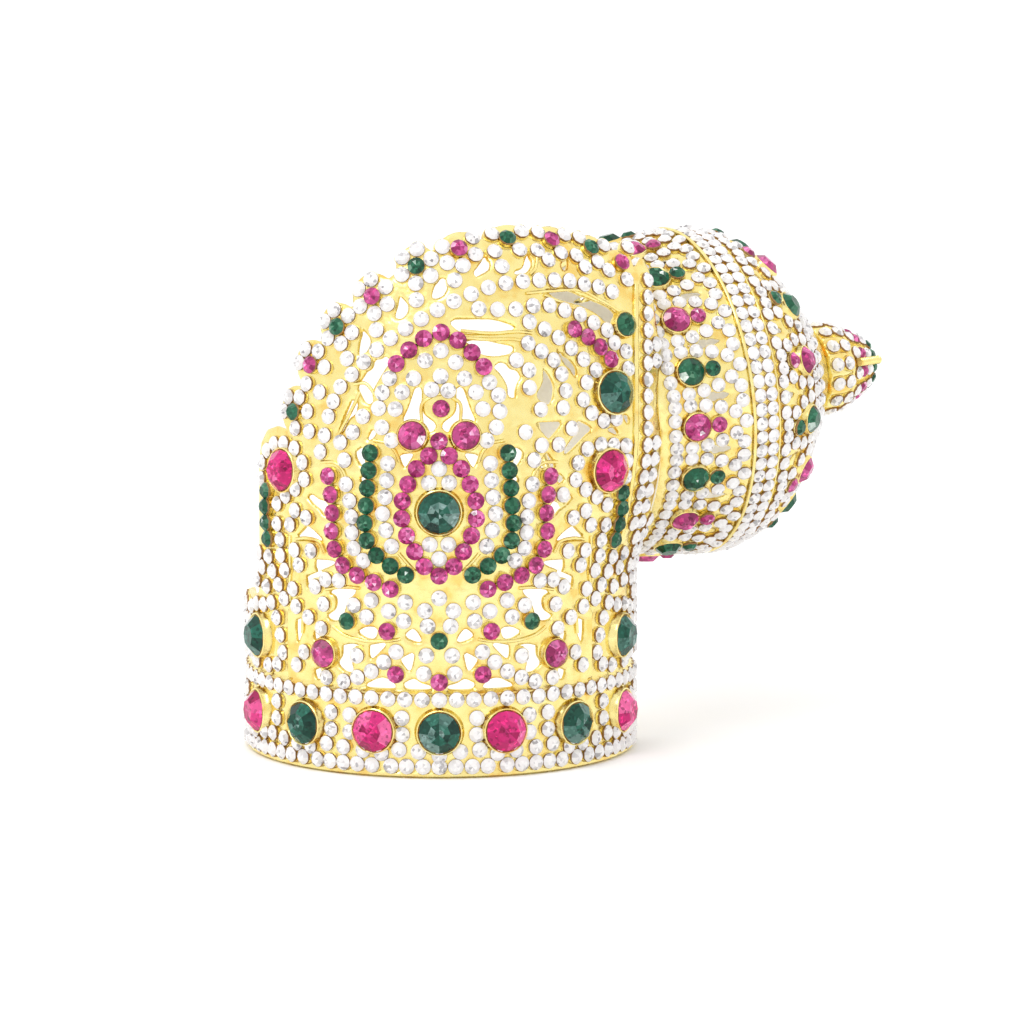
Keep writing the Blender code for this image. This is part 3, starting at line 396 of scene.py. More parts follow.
STRINGS = {
    # name: (points, stones, colour)
    "ogee_string": (
        ((0, 66.6), (-1.9, 63.8), (-4.2, 61.4), (-6.9, 55.6), (-6.7, 49.6), (-2.8, 42.2), (0, 40.4)),
        10, "magenta"),
    "inner_string": (
        ((-13.4, 64.0), (-14.1, 55.6), (-14.4, 48.0), (-11.8, 43.8), (-6.4, 40.5)), 9, "green"),
    "outer_string": (
        ((-22.6, 58.9), (-21.6, 52.4), (-21.6, 46.4), (-18.6, 41.2), (-9.4, 37.6)), 9, "magenta"),
    "arch_string": (
        ((-8.2, 81.2), (-4.4, 85.0), (0.3, 87.2), (5.0, 84.6), (8.6, 80.6)), 7, "magenta"),
    "shoulder_string": (
        ((28.2, 86.6), (33.4, 83.6), (37.0, 80.2)), 4, "magenta"),
    "side_string": (
        ((-40.9, 54.0), (-41.2, 49.6), (-40.2, 44.6)), 4, "green"),
}
CLOSED_STRING = "ogee_string"
MIRRORED_STRINGS = ("inner_string", "outer_string", "side_string")

# Raised veins of the casting: the places that each runs through
MIRRORED_VEINS = (
    ((-13.0, 66.4), (-10.5, 66.0), (-8.7, 64.6), (-7.7, 62.4)),
    ((-24.8, 61.4), (-22.0, 61.6), (-20.0, 60.7), (-18.9, 58.9)),
    ((-31.5, 45.6), (-28.5, 46.1), (-25.3, 45.7), (-23.9, 43.7)),
    ((-7.9, 44.6), (-6.5, 43.0), (-4.6, 41.0)),
    ((-22.0, 29.2), (-19.5, 27.8), (-15.0, 26.9), (-10.5, 27.1), (-7.6, 27.6)),
    ((-23.8, 36.4), (-20.0, 37.2), (-16.0, 37.3)),
    ((-29.9, 27.0), (-29.6, 31.4)),
    ((-33.5, 33.0), (-33.5, 46.0)),
)
SINGLE_VEINS = (
    ((19.2, 103.0), (19.9, 100.8), (19.6, 98.8), (18.4, 97.7)),
    ((17.5, 94.2), (24.0, 94.3), (30.0, 94.0), (34.7, 91.9), (39.0, 89.6), (40.4, 88.0)),
    ((21.5, 93.6), (26.9, 91.4), (31.2, 89.3), (35.3, 86.4)),
    ((4.2, 87.6), (10.3, 87.0), (15.0, 87.1), (18.8, 86.6)),
    ((5.0, 86.2), (10.0, 85.8), (14.6, 85.7), (18.0, 84.9)),
    ((-20.4, 67.3), (-17.2, 72.9), (-16.0, 75.5)),
    ((-17.2, 77.0), (-14.6, 77.2), (-12.5, 75.0)),
    ((-3.3, 69.7), (-3.4, 73.5), (-1.6, 75.0), (0.4, 75.6), (2.4, 75.0), (4.2, 73.5), (4.1, 69.7)),
)

# Rows of clear stones: how many, and the places that the row runs through
CLEAR_RADIUS = 1.54
MIRRORED_ROWS = (
    (1, ((-23.4, 19.0),)),
    (5, ((-19.4, 18.5), (-13.6, 20.9), (-8.4, 25.1))),
    (1, ((-16.5, 23.9),)),
    (2, ((-3.0, 20.9), (-2.5, 24.5))),
    (2, ((-2.25, 30.5), (-2.75, 33.25))),
    (2, ((-6.9, 31.25), (-9.9, 33.1))),
    (1, ((-6.6, 35.0),)),
    (2, ((-14.4, 31.75), (-17.1, 33.9))),
    (1, ((-13.4, 35.1),)),
    (3, ((-20.4, 38.5), (-23.6, 38.4), (-26.1, 36.75))),
    (1, ((-24.1, 33.5),)),
    (4, ((-24.6, 28.6), (-31.0, 32.1), (-34.9, 33.3))),
    (2, ((-29.1, 23.4), (-31.2, 20.6))),
    (7, ((-40.75, 19.2), (-36.6, 20.2), (-35.5, 22.9), (-37.8, 29.6), (-39.5, 31.9), (-42.8, 31.0))),
    (6, ((-46.5, 19.2), (-50.4, 21.0), (-51.6, 25.0), (-50.0, 29.4), (-46.6, 30.6))),
    (4, ((-32.2, 35.6), (-37.0, 35.8), (-42.0, 34.8), (-46.0, 35.5))),
    (4, ((-30.5, 40.6), (-34.7, 39.0), (-39.1, 38.3), (-43.5, 38.5))),
    (5, ((-27.2, 43.75), (-31.2, 43.5), (-35.75, 42.0), (-41.2, 40.8), (-45.0, 41.0))),
    (1, ((-36.2, 44.8),)),
    (3, ((-33.0, 48.3), (-31.6, 51.25), (-28.4, 50.2))),
    (2, ((-37.2, 47.9), (-37.2, 51.9))),
    (10, ((-34.3, 53.8), (-28.8, 57.8), (-31.6, 63.4), (-38.7, 63.4), (-43.2, 59.5), (-43.6, 56.0))),
    (6, ((-18.75, 57.6), (-17.6, 52.5), (-17.4, 47.9), (-14.6, 42.0))),
    (6, ((-10.0, 62.1), (-10.4, 56.5), (-11.0, 51.5), (-9.25, 46.0))),
    (1, ((-1.95, 58.5),)),
    (1, ((-2.0, 46.4),)),
    (1, ((-19.1, 62.25),)),
    (1, ((-17.25, 67.75),)),
    (2, ((-9.0, 66.75), (-11.1, 68.9))),
    (3, ((-11.75, 72.9), (-10.9, 75.9), (-9.6, 78.5))),
    (3, ((-8.5, 72.6), (-6.8, 76.5), (-4.9, 78.5))),
    (17, ((0.0, 4.3), (5.0, 5.2), (8.6, 5.9), (12.9, 4.4), (20.8, 5.0), (24.8, 6.0), (30.3, 4.6),
          (37.3, 5.6), (42.0, 5.8), (48.0, 4.6), (63.0, 5.0))),
    (2, ((7.3, 12.0), (7.3, 8.5))),
    (2, ((18.1, 12.0), (18.1, 8.6))),
    (2, ((22.3, 12.2), (22.3, 8.8))),
    (2, ((37.6, 12.4), (37.6, 9.0))),
    (2, ((54.6, 12.4), (54.6, 9.0))),
    (2, ((58.4, 12.4), (58.4, 9.0))),
    (2, ((62.2, 12.4), (62.2, 9.0))),
)
SINGLE_ROWS = (
    (1, ((0.0, 35.9),)),
    (1, ((0.1, 61.4),)),
    (1, ((0.0, 43.6),)),
    (1, ((-24.75, 63.4),)),
    (1, ((-15.1, 70.9),)),
    (1, ((-22.75, 70.4),)),
    (1, ((-28.0, 70.9),)),
    (4, ((-20.0, 65.6), (-24.1, 66.75), (-31.4, 67.4))),
    (3, ((-21.6, 73.4), (-24.7, 74.8), (-28.3, 76.2))),
    (2, ((-1.35, 76.5), (1.7, 76.3))),
    (1, ((0.3, 78.8),)),
    (3, ((-2.7, 81.9), (0.3, 83.8), (3.2, 81.6))),
    (19, ((-20.0, 76.3), (-14.6, 81.6), (-9.0, 86.3), (-0.3, 91.5), (6.1, 94.4), (13.3, 96.25),
          (23.9, 96.25), (31.6, 95.0), (37.7, 93.1))),
    (1, ((-18.7, 82.1),)),
    (1, ((-12.4, 87.9),)),
    (1, ((-4.4, 93.7),)),
    (1, ((3.2, 97.4),)),
    (1, ((12.3, 99.4),)),
    (9, ((7.7, 91.6), (14.8, 91.25), (21.9, 91.7), (29.2, 89.1), (36.4, 85.8))),
    (6, ((18.1, 88.75), (24.7, 85.3), (33.6, 78.4))),
    (6, ((17.8, 84.7), (24.1, 80.6), (26.5, 74.7), (25.8, 71.8))),
    (3, ((15.3, 81.6), (18.1, 79.4), (18.1, 76.25))),
    (1, ((20.6, 71.9),)),
    (1, ((20.8, 65.0),)),
    (2, ((24.75, 64.8), (27.9, 67.7))),
    (4, ((31.5, 76.3), (30.6, 73.1), (32.5, 70.4), (35.6, 68.5))),
    (1, ((38.6, 68.7),)),
    (3, ((38.1, 83.4), (41.25, 81.25), (41.9, 78.1))),
    (1, ((25.8, 55.0),)),
    (16, ((46.9, 47.0), (46.9, 94.5))),
    (12, ((49.8, 47.0), (49.8, 82.0))),
    (39, ((-63.7, 15.7), (63.7, 15.7))),
    (39, ((-62.2, 2.4), (62.2, 2.4))),
)
SCALLOP_RING = 3.25
SCALLOP_WIDE = (-150.0, -90.0, -30.0, 30.0, 90.0, 150.0)    # stones round a wide scallop, in degrees
SCALLOP_LOW = (-128.0, -70.0, 70.0, 128.0, 180.0)           # the same where its edge is rolled back
ROLLED_EDGE = 4.0
RING_SPACE = 1.5                # the rings' stones start at least this many radii from any other
STONE_SPACE = 2.02              # and settle until they lie this many apart
TUCK = 0.9                      # how far a clear stone may tuck under a big one
SMALL_GAP = 0.03                # how far it stays from a smaller one
RIDGE_KEEP = 2.1                # the least distance from the neck's ridge to a stone's middle
SETTLE_STEPS = 40
LOWEST_ROW = 2.4
FILL_PITCH = 3.35
FILL_ROW_PITCH = 0.87 * FILL_PITCH
FILL_REACH = 64.5
FILL_HEIGHTS = (3.0, 100.0)
FILL_FROM_EDGE = 1.5
FILL_FROM_STONE = 0.4
HIDDEN_LEFT = -44.0             # past these the sheet turns from the front, and its rows are plain
HIDDEN_RIGHT = 45.5
PATH_STEPS = 20                 # straight steps between two points of a smooth path


def smooth_path(points, count):
    """Places at even steps along a smooth curve through the points, from its start to its end."""
    if len(points) == 1:
        return [points[0]]
    knots = np.array(points, float)
    knots = np.vstack([2 * knots[0] - knots[1], knots, 2 * knots[-1] - knots[-2]])
    fine = []
    for a, b, c, d in zip(knots, knots[1:], knots[2:], knots[3:]):
        for t in np.arange(PATH_STEPS) / PATH_STEPS:
            fine.append(0.5 * (2 * b + (c - a) * t + (2 * a - 5 * b + 4 * c - d) * t * t
                               + (3 * b - a - 3 * c + d) * t ** 3))
    fine = np.array(fine + [knots[-2]])
    run = np.concatenate([[0.0], np.cumsum(np.linalg.norm(np.diff(fine, axis=0), axis=1))])
    at = np.linspace(0.0, run[-1], count)
    return [(float(np.interp(d, run, fine[:, 0])), float(np.interp(d, run, fine[:, 1]))) for d in at]


def string_places(name, sign):
    """A string's chart places in order, on the left half for sign 1 or mirrored for sign -1."""
    points, count, _ = STRINGS[name]
    places = [(s * sign, h) for s, h in smooth_path(points, count)]
    if name == CLOSED_STRING:
        places += [(-s, h) for s, h in places[-2:0:-1]]
    return places


def scallop_places():
    """Each scallop's chart place and how far its edge rises past it, from left to right."""
    return [(s, TIER_HEIGHT + share * CREST_RISE, edge) for s, share, edge, _ in SCALLOPS]


def scallop_edge():
    """The crest's outline from left to right, an arc round each scallop, and each arc's outward way."""
    edge = []
    ways = []
    rows = [Vector(place) for place in scallop_places()]
    for index, row in enumerate(rows):
        before = rows[max(index - 1, 0)].xy
        after = rows[min(index + 1, len(rows) - 1)].xy
        chord = (after - before).normalized()
        outward = Vector((-chord.y, chord.x))
        ways.append(outward)
        spacing = min((row.xy - other).length for other in (before, after) if other != row.xy)
        for turn in SCALLOP_TURNS:
            across = math.sin(turn) * spacing * SCALLOP_SHARE
            out = math.cos(turn) * row.z
            edge.append(tuple(row.xy + chord * across + outward * out))
    return edge, ways


def sheet_outline():
    """The outline of the flat sheet, counter-clockwise from the right end of the bottom rim."""
    ear = [(-BACK_EDGE + inward, EAR_HEIGHT - below) for inward, below in EAR_CORNER]
    notch = [(-TIER_EDGE - out, EAR_HEIGHT + above) for out, above in EAR_NOTCH]
    tier = [(-TIER_EDGE + inward, TIER_HEIGHT - below) for inward, below in TIER_CORNER]
    neck = [(NECK_EDGE - inward, NECK_HEIGHT - below) for inward, below in NECK_CORNER]
    neck += [(NECK_EDGE, NECK_FOOT), (NECK_EDGE, EAR_HEIGHT + EAR_NOTCH[-1][1])]
    right_ear = [(-s, h) for s, h in ear[::-1]]
    outline = [(-BACK_EDGE, 0.0)] + ear + notch + tier + scallop_edge()[0] + neck + right_ear
    return (outline + [(BACK_EDGE, 0.0)])[::-1]


def polygon_depth(s, h, corners):
    """How deep each chart place lies inside a polygon, below 0 outside it."""
    inside = np.zeros(s.shape, bool)
    nearest = np.full(s.shape, 1e9)
    for (ax, ay), (bx, by) in zip(corners, corners[1:] + corners[:1]):
        run = max((bx - ax) ** 2 + (by - ay) ** 2, 1e-12)
        t = np.clip(((s - ax) * (bx - ax) + (h - ay) * (by - ay)) / run, 0.0, 1.0)
        nearest = np.minimum(nearest, np.hypot(s - ax - t * (bx - ax), h - ay - t * (by - ay)))
        if ay != by:
            crosses = (ay > h) != (by > h)
            inside ^= crosses & (s < ax + (h - ay) * (bx - ax) / (by - ay))
    return np.where(inside, nearest, -nearest)


GAP_NEAR = 1.5                  # how far round a gap its depth is worked out
GAP_SMOOTH = 5                  # places on a gap's smooth edge for each of its corners


def gap_depth(s, h, gap):
    """How deep chart places lie inside a gap, worked out only near it."""
    corners = smooth_path(gap + gap[:1], GAP_SMOOTH * len(gap))[:-1]
    low = np.min(corners, axis=0) - GAP_NEAR
    high = np.max(corners, axis=0) + GAP_NEAR
    near = (s > low[0]) & (s < high[0]) & (h > low[1]) & (h < high[1])
    depth = np.full(s.shape, -2.0 * GAP_NEAR)
    depth[near] = polygon_depth(s[near], h[near], corners)
    return depth


# The bun's own frame, from its collar's place: its axis runs to the right and a little back and up
BUN_RADIUS = 33.2
BUN_LENGTH = 48.5
BUN_YAW = math.radians(25.0)
BUN_PITCH = math.radians(4.5)
COLLAR_WIDE = 1.4
COLLAR_THICK = 1.6
INNER_RING_ALONG = 7.2
OUTER_RING_ALONG = 34.4
CUP_GAP = 0.4
CUP_RISE = 0.6
BUN_HEIGHT = 66.4
SEAT_CLEAR = 0.74
SEAT_ALONG = 0.67
BUN_PROFILE = np.array((
    # along, radius, as shares of the bun's length and greatest radius
    (0.000, 0.900),
    (0.139, 0.930),
    (0.305, 0.960),
    (0.376, 0.970),
    (0.392, 0.989),
    (0.412, 0.972),
    (0.483, 0.973),
    (0.614, 0.905),
    (0.735, 0.755),
    (0.851, 0.530),
    (0.911, 0.430),
    (0.960, 0.340),
    (0.994, 0.275),
    (1.000, 0.265),
    (1.000, 0.130),
))


def bun_radius(along):
    """The bun's outer radius at a distance along its axis from the rim."""
    return np.interp(np.asarray(along) / BUN_LENGTH, BUN_PROFILE[:-1, 0], BUN_PROFILE[:-1, 1]) * BUN_RADIUS


BUN_AXIS = np.array([math.cos(BUN_YAW) * math.cos(BUN_PITCH),
                     math.sin(BUN_YAW) * math.cos(BUN_PITCH), math.sin(BUN_PITCH)])
BUN_NEAR = np.cross(BUN_AXIS, (0.0, 0.0, 1.0))
BUN_NEAR /= np.linalg.norm(BUN_NEAR)
BUN_DOWN = np.cross(BUN_AXIS, BUN_NEAR)
BUN_RIM = (on_sheet(WRAP_LINE, BUN_HEIGHT)[0] + BUN_AXIS * SEAT_ALONG
           - BUN_NEAR * (bun_radius(0.0) + SEAT_CLEAR))


def room_depth(point):
    """How deep a point lies inside the room that the bun takes out of the sheet."""
    way = point - BUN_RIM
    along = way @ BUN_AXIS
    out = np.hypot(way @ BUN_NEAR, way @ BUN_DOWN)
    start = -FIT_GAP - COLLAR_WIDE - FIT_GAP
    stones = INNER_RING_ALONG - MEDIUM_RADIUS - 2.0 * FIT_GAP
    tall = CUP_GAP + FIT_GAP * 2.0 + CUP_RISE + MEDIUM_RADIUS * STONE_HEIGHT
    limit = np.where(along < stones, np.interp(along, (0.0, stones), (bun_radius(0.0), bun_radius(stones)))
                     + FIT_GAP, np.minimum(bun_radius(stones), bun_radius(along)) + tall)
    return np.minimum(limit - out, along - start)


def sheet_depth(s, h):
    """How far each chart place lies inside the metal of the pierced sheet."""
    depth = polygon_depth(s, h, sheet_outline())
    for gap in SINGLE_GAPS + MIRRORED_GAPS:
        depth = np.minimum(depth, -gap_depth(s, h, gap))
    for gap in MIRRORED_GAPS:
        depth = np.minimum(depth, -gap_depth(-s, h, gap))
    return depth


def coloured_places():
    """Every coloured stone on the sheet as s, h and radius."""
    rows = [(s, h, radius) for _, s, h, radius, _ in MAIN_STONES]
    rows += [(s, h, SMALL_RADIUS) for s, h, _ in scallop_places()]
    rows += [(s, h, SMALL_RADIUS) for s, h, _ in MOTIF_STONES]
    for name in STRINGS:
        for sign in ((1, -1) if name in MIRRORED_STRINGS else (1,)):
            rows += [(s, h, SMALL_RADIUS) for s, h in string_places(name, sign)]
    return np.array(rows)


def push_apart(places, others, least, ease):
    """Places moved a share of the way that brings them the least distance from each of the others."""
    apart = places[:, None] - others[None]
    gap = np.hypot(apart[..., 0], apart[..., 1])
    gap[gap == 0.0] = least.max()
    push = np.clip(least - gap, 0.0, None) * ease
    return places + (apart / gap[..., None] * push[..., None]).sum(axis=1)


def hidden_places():
    """Plain rows of stones where the sheet turns from the front."""
    found = []
    for row, h in enumerate(np.arange(*FILL_HEIGHTS, FILL_ROW_PITCH)):
        line = np.arange(-FILL_REACH + (row % 2) * FILL_PITCH / 2.0, FILL_REACH, FILL_PITCH)
        found += [(s, h) for s in line if not HIDDEN_LEFT <= s <= HIDDEN_RIGHT]
    found = np.array(found)
    room = -room_depth(on_sheet(found[:, 0], found[:, 1])) > FILL_FROM_EDGE
    return found[room & (sheet_depth(found[:, 0], found[:, 1]) > FILL_FROM_EDGE)]


def clear_places(coloured):
    """Every clear stone's chart place: the charted rows, the scallops' rings, then the hidden sides."""
    found = []
    for count, points in MIRRORED_ROWS:
        row = smooth_path(points, count)
        found += row + [(-s, h) for s, h in row if abs(s) > 0.01]
    for count, points in SINGLE_ROWS:
        found += smooth_path(points, count)
    for (s, h, edge), way in zip(scallop_places(), scallop_edge()[1]):
        for degrees in SCALLOP_WIDE if edge > ROLLED_EDGE else SCALLOP_LOW:
            turn = math.atan2(way.y, way.x) + math.radians(degrees)
            place = (s + SCALLOP_RING * math.cos(turn), h + SCALLOP_RING * math.sin(turn))
            if all(math.dist(place, other) > RING_SPACE * CLEAR_RADIUS for other in found):
                found.append(place)
    places = np.array(found)
    spots, radii = coloured[:, :2], coloured[:, 2]
    for place in hidden_places():
        clear = np.hypot(*(places - place).T).min() > STONE_SPACE * CLEAR_RADIUS
        reach = np.hypot(*(spots - place).T) - radii
        if clear and reach.min() > CLEAR_RADIUS + FILL_FROM_STONE:
            places = np.vstack([places, place])
    least = radii + CLEAR_RADIUS - np.where(radii > MEDIUM_RADIUS, TUCK, -SMALL_GAP)
    for _ in range(SETTLE_STEPS):
        places = push_apart(places, places, np.full(len(places), STONE_SPACE * CLEAR_RADIUS), ease=0.4)
        places = push_apart(places, spots, least, ease=0.8)
        near = (places[:, 1] > LEAN_START) & (np.abs(places[:, 0] - NECK_LINE) < RIDGE_KEEP)
        side = np.where(places[:, 0] < NECK_LINE, -RIDGE_KEEP, RIDGE_KEEP)
        places[:, 0] = np.where(near, NECK_LINE + side, places[:, 0])
        places[:, 1] = np.maximum(places[:, 1], LOWEST_ROW)
    return places[-room_depth(on_sheet(places[:, 0], places[:, 1])) > FILL_FROM_EDGE]


COLOURED = coloured_places()
CLEAR = clear_places(COLOURED)

WAVES = 260.0                   # hammer waves and grain, in spots to the metre
GRAIN = 2200.0
WAVE_DEPTH = 0.0005
GRAIN_DEPTH = 0.05              # as a share of the waves'
GRAIN_DULLS = 0.16


def hammered_finish(name, shades, roughness, metallic=1.0):
    """Gold plate, or the bun's lining: a little uneven, with soft waves left by the hammer.

    Its colour grows darker, in the gold more orange, where the waves sink: a painted shade in their hollows.
    """
    material, wire = new_material(name)
    spot = wire.node("ShaderNodeTexCoord", out="Object")
    waves = wire.node("ShaderNodeTexNoise", None, {"Vector": spot, "Scale": WAVES, "Detail": 2.0})
    grain = wire.node("ShaderNodeTexNoise", None, {"Vector": spot, "Scale": GRAIN, "Detail": 3.0})
    # Painted shade: the colour follows the waves, darker where they sink
    tone_and_hollow_shade = wire.node("ShaderNodeValToRGB", {"stops": shades}, {"Fac": waves})
    bump = wire.node("ShaderNodeBump", None, {
        "Strength": 1.0, "Distance": WAVE_DEPTH, "Height": waves + grain * GRAIN_DEPTH})
    finish_material(wire, {"Base Color": tone_and_hollow_shade, "Metallic": metallic, "Normal": bump,
                           "Roughness": roughness + grain * GRAIN_DULLS})
    return material


# The lowest stop of each ramp is painted shade in the waves' hollows, orange in the polished gold
gold = hammered_finish("polished_gold", (
    (0.33, (0.86, 0.61, 0.18)), (0.41, (0.88, 0.71, 0.26)), (0.7, (0.92, 0.81, 0.36))), roughness=0.18)
satin_gold = hammered_finish("satin_gold", (
    (0.3, (0.88, 0.73, 0.36)), (0.7, (0.93, 0.80, 0.44))), roughness=0.4)
pale_lining = hammered_finish("pale_lining", (
    (0.3, (0.96, 0.95, 0.92)), (0.7, (0.98, 0.97, 0.95))), roughness=0.5, metallic=0.0)

LEAST_CUT = 0.08                # an edge cuts a grid line no nearer to its ends than this share
SHARP_EDGE = math.radians(50.0)


def pierced_shell(name, u_lines, v_lines, depth, place, wall, back, wraps=False):
    """A thin shell over a grid, kept where depth is above 0, with its edges on depth's zero line.

    place(u, v, depth, level) gives the points of a face, wall is the inner one's depth and back its
    material."""
    columns, rows = depth.shape
    grid = np.arange(columns * rows).reshape(columns, rows)
    left = np.arange(columns if wraps else columns - 1)
    right = (left + 1) % columns
    cells = np.stack([grid[left, :-1], grid[right, :-1], grid[right, 1:], grid[left, 1:]])
    corners_in = (depth.ravel()[cells] > 0.0).sum(axis=0)
    faces = [tuple(cell) for cell in cells[:, corners_in == 4].T.tolist()]
    points = {}
    u_at = list(np.repeat(u_lines, rows))
    v_at = list(np.tile(v_lines, columns))
    metal = list(depth.ravel())
    u_span = u_lines[-1] - u_lines[0] + (u_lines[1] - u_lines[0])

    def crossing(first, second):
        key = (min(first, second), max(first, second))
        if key not in points:
            one, two = key
            share = np.clip(metal[one] / (metal[one] - metal[two]), LEAST_CUT, 1.0 - LEAST_CUT)
            other_u = u_at[two]
            if wraps and abs(other_u - u_at[one]) > u_span / 2.0:
                other_u += u_span if other_u < u_at[one] else -u_span
            points[key] = len(u_at)
            u_at.append(u_at[one] + (other_u - u_at[one]) * share)
            v_at.append(v_at[one] + (v_at[two] - v_at[one]) * share)
            metal.append(0.0)
        return points[key]

    for cell in cells[:, (corners_in > 0) & (corners_in < 4)].T.tolist():
        face = []
        for here, after in zip(cell, cell[1:] + cell[:1]):
            if metal[here] > 0.0:
                face.append(here)
            if (metal[here] > 0.0) != (metal[after] > 0.0):
                face.append(crossing(here, after))
        faces.append(tuple(face))
    used = np.unique(np.concatenate([np.array(face) for face in faces]))
    renumber = np.full(len(u_at), -1)
    renumber[used] = np.arange(len(used))
    u = np.array(u_at)[used]
    v = np.array(v_at)[used]
    metal = np.array(metal)[used]
    faces = [tuple(renumber[list(face)].tolist()) for face in faces]
    outer = place(u, v, metal, None)
    inner = place(u, v, metal, wall)
    count = len(used)
    directed = set()
    for face in faces:
        directed.update(zip(face, face[1:] + face[:1]))
    rim = sorted((two, one) for one, two in directed if (two, one) not in directed)
    walls = [(one, two, two + count, one + count) for one, two in rim]
    backs = [tuple(corner + count for corner in face[::-1]) for face in faces]
    mesh = bpy.data.meshes.new(name)
    mesh.from_pydata((np.vstack([outer, inner]) * MM).tolist(), [], faces + backs + walls)
    mesh.materials.append(gold)
    mesh.materials.append(back)
    slots = np.repeat([0, 1, 0], [len(faces), len(backs), len(walls)])
    mesh.polygons.foreach_set("material_index", slots)
    mesh.shade_smooth()
    mesh.set_sharp_from_angle(angle=SHARP_EDGE)
    return mesh


GRID = 0.47                     # the pitch of the grid that the sheet is made from
FIRST_LINE = 0.02               # its first line above the bottom rim
GRID_ROOM = 5.0                 # how far it goes past the top of the crest
EDGE_ROUND = 0.9                # how far in from an edge the face begins to fall
EDGE_DROP = 0.45                # and how far it falls
BOSS_RIM = 0.2                  # the metal round a stone that stands over a gap or past an edge
RIDGE_HALF = 0.7
RIDGE_RISE = 0.7
PANEL_RIDGE = 33.5


def ridge(distance):
    """A rounded ridge's height, from 1 on its line to 0 at its foot."""
    return np.where(np.abs(distance) < RIDGE_HALF, 0.5 + 0.5 * np.cos(np.pi * distance / RIDGE_HALF), 0.0)


def sheet_relief(s, h):
    """How far the sheet's face is raised: the lip and the ridges that lie straight on the chart."""
    panel = (h > BAND_HEIGHT) & (h < EAR_HEIGHT)
    raised = ridge(h - RIDGE_HALF) + ridge(h - BAND_HEIGHT + RIDGE_HALF)
    return RIDGE_RISE * (raised + np.where(panel, ridge(np.abs(s) - PANEL_RIDGE), 0.0))


def rounded(metal):
    """How far a rounded edge falls below the face at each distance into the metal."""
    share = 1.0 - np.clip(metal / EDGE_ROUND, 0.0, 1.0)
    return EDGE_DROP * (1.0 - np.sqrt(1.0 - share ** 2))


def place_sheet(s, h, metal, wall):
    """Points of the sheet's outer face with its relief, or of its inner face."""
    level = sheet_relief(s, h) - rounded(metal) if wall is None else np.full(s.shape, -wall)
    return on_sheet(s, h, level)


s_lines = np.arange(-BACK_EDGE - 2 * GRID, BACK_EDGE + 2 * GRID, GRID)
h_lines = np.concatenate([[-GRID], np.arange(FIRST_LINE, TIER_HEIGHT + CREST_RISE + GRID_ROOM, GRID)])
grid_s, grid_h = np.meshgrid(s_lines, h_lines, indexing="ij")
flat_s, flat_h = grid_s.ravel(), grid_h.ravel()
sheet_metal = sheet_depth(flat_s, flat_h)
for s, h, radius in np.vstack([np.column_stack([CLEAR, np.full(len(CLEAR), CLEAR_RADIUS)]), COLOURED]):
    sheet_metal = np.maximum(sheet_metal, radius + BOSS_RIM - np.hypot(flat_s - s, flat_h - h))
sheet_metal = np.minimum(sheet_metal, flat_h)
sheet_metal = np.minimum(sheet_metal, -room_depth(on_sheet(flat_s, flat_h)))
sheet_mesh = pierced_shell("crown_sheet", s_lines, h_lines, sheet_metal.reshape(grid_s.shape),
                           place_sheet, SHEET_THICK, satin_gold)

add_piece("crown_sheet", sheet_mesh, "gold", ("crown_plate",))

# The veins of the tracery are fine gold wires soldered on the sheet, half sunk in the solder, and a
# thicker one lies along the line where the sheet turns into the neck
NECK_RIDGE_TOP = 94.0
VEIN_RADIUS = 0.36
NECK_WIRE_RADIUS = 0.62
WIRE_LEVEL = 0.08               # how far a wire's middle lies above the sheet's face
WIRE_STEPS = 28
WIRE_SIDES = 8


def start_tree(name, inputs):
    """A node tree that makes a mesh, and a wire from each of its named inputs."""
    tree = bpy.data.node_groups.new(name, "GeometryNodeTree")
    tree.is_modifier = True
    for label, kind in inputs.items():
        tree.interface.new_socket(label, in_out="INPUT", socket_type="NodeSocket" + kind)
    tree.interface.new_socket("Result", in_out="OUTPUT", socket_type="NodeSocketGeometry")
    start = tree.nodes.new("NodeGroupInput")
    return tree, [Wire(tree, start.outputs[k]) for k in range(len(inputs))]


def end_tree(shape, finish):
    """End a tree with one real mesh in its finish."""
    shape = shape.node("GeometryNodeRealizeInstances", None, {"Geometry": shape})
    shape = shape.node("GeometryNodeSetMaterial", None, {"Geometry": shape, "Material": finish})
    shape.node("NodeGroupOutput", None, {0: shape})


def run_tree(name, tree, blank, inputs):
    """Run a tree on a blank mesh, its inputs given by name, and keep the result as one plain mesh."""
    holder = bpy.data.objects.new("holder", blank)
    bpy.context.scene.collection.objects.link(holder)
    modifier = holder.modifiers.new("make", "NODES")
    modifier.node_group = tree
    for socket in tree.interface.items_tree:
        if socket.in_out == "INPUT" and socket.name in inputs:
            modifier[socket.identifier] = inputs[socket.name]
    graph = bpy.context.evaluated_depsgraph_get()
    mesh = bpy.data.meshes.new_from_object(holder.evaluated_get(graph), depsgraph=graph)
    bpy.data.objects.remove(holder)
    mesh.name = name
    return mesh


def face_outwards(mesh, sharp=SHARP_EDGE):
    """Turn the faces of a closed mesh outwards and shade it smooth up to its sharp edges."""
    bm = bmesh.new()
    bm.from_mesh(mesh)
    bmesh.ops.recalc_face_normals(bm, faces=bm.faces)
    bm.to_mesh(mesh)
    bm.free()
    mesh.shade_smooth()
    mesh.set_sharp_from_angle(angle=sharp)


def wire_maker():
    """The node tree that lays a round wire along every line of a mesh."""
    tree, (lines, radius, finish) = start_tree("lay_wires", {
        "Lines": "Geometry", "Radius": "Float", "Finish": "Material"})
    path = lines.node("GeometryNodeMeshToCurve", None, {0: lines})
    section = lines.node("GeometryNodeCurvePrimitiveCircle", None, {
        "Resolution": WIRE_SIDES, "Radius": radius})
    laid = lines.node("GeometryNodeCurveToMesh", None, {
        "Curve": path, "Profile Curve": section, "Fill Caps": True})
    end_tree(laid, finish)
    return tree


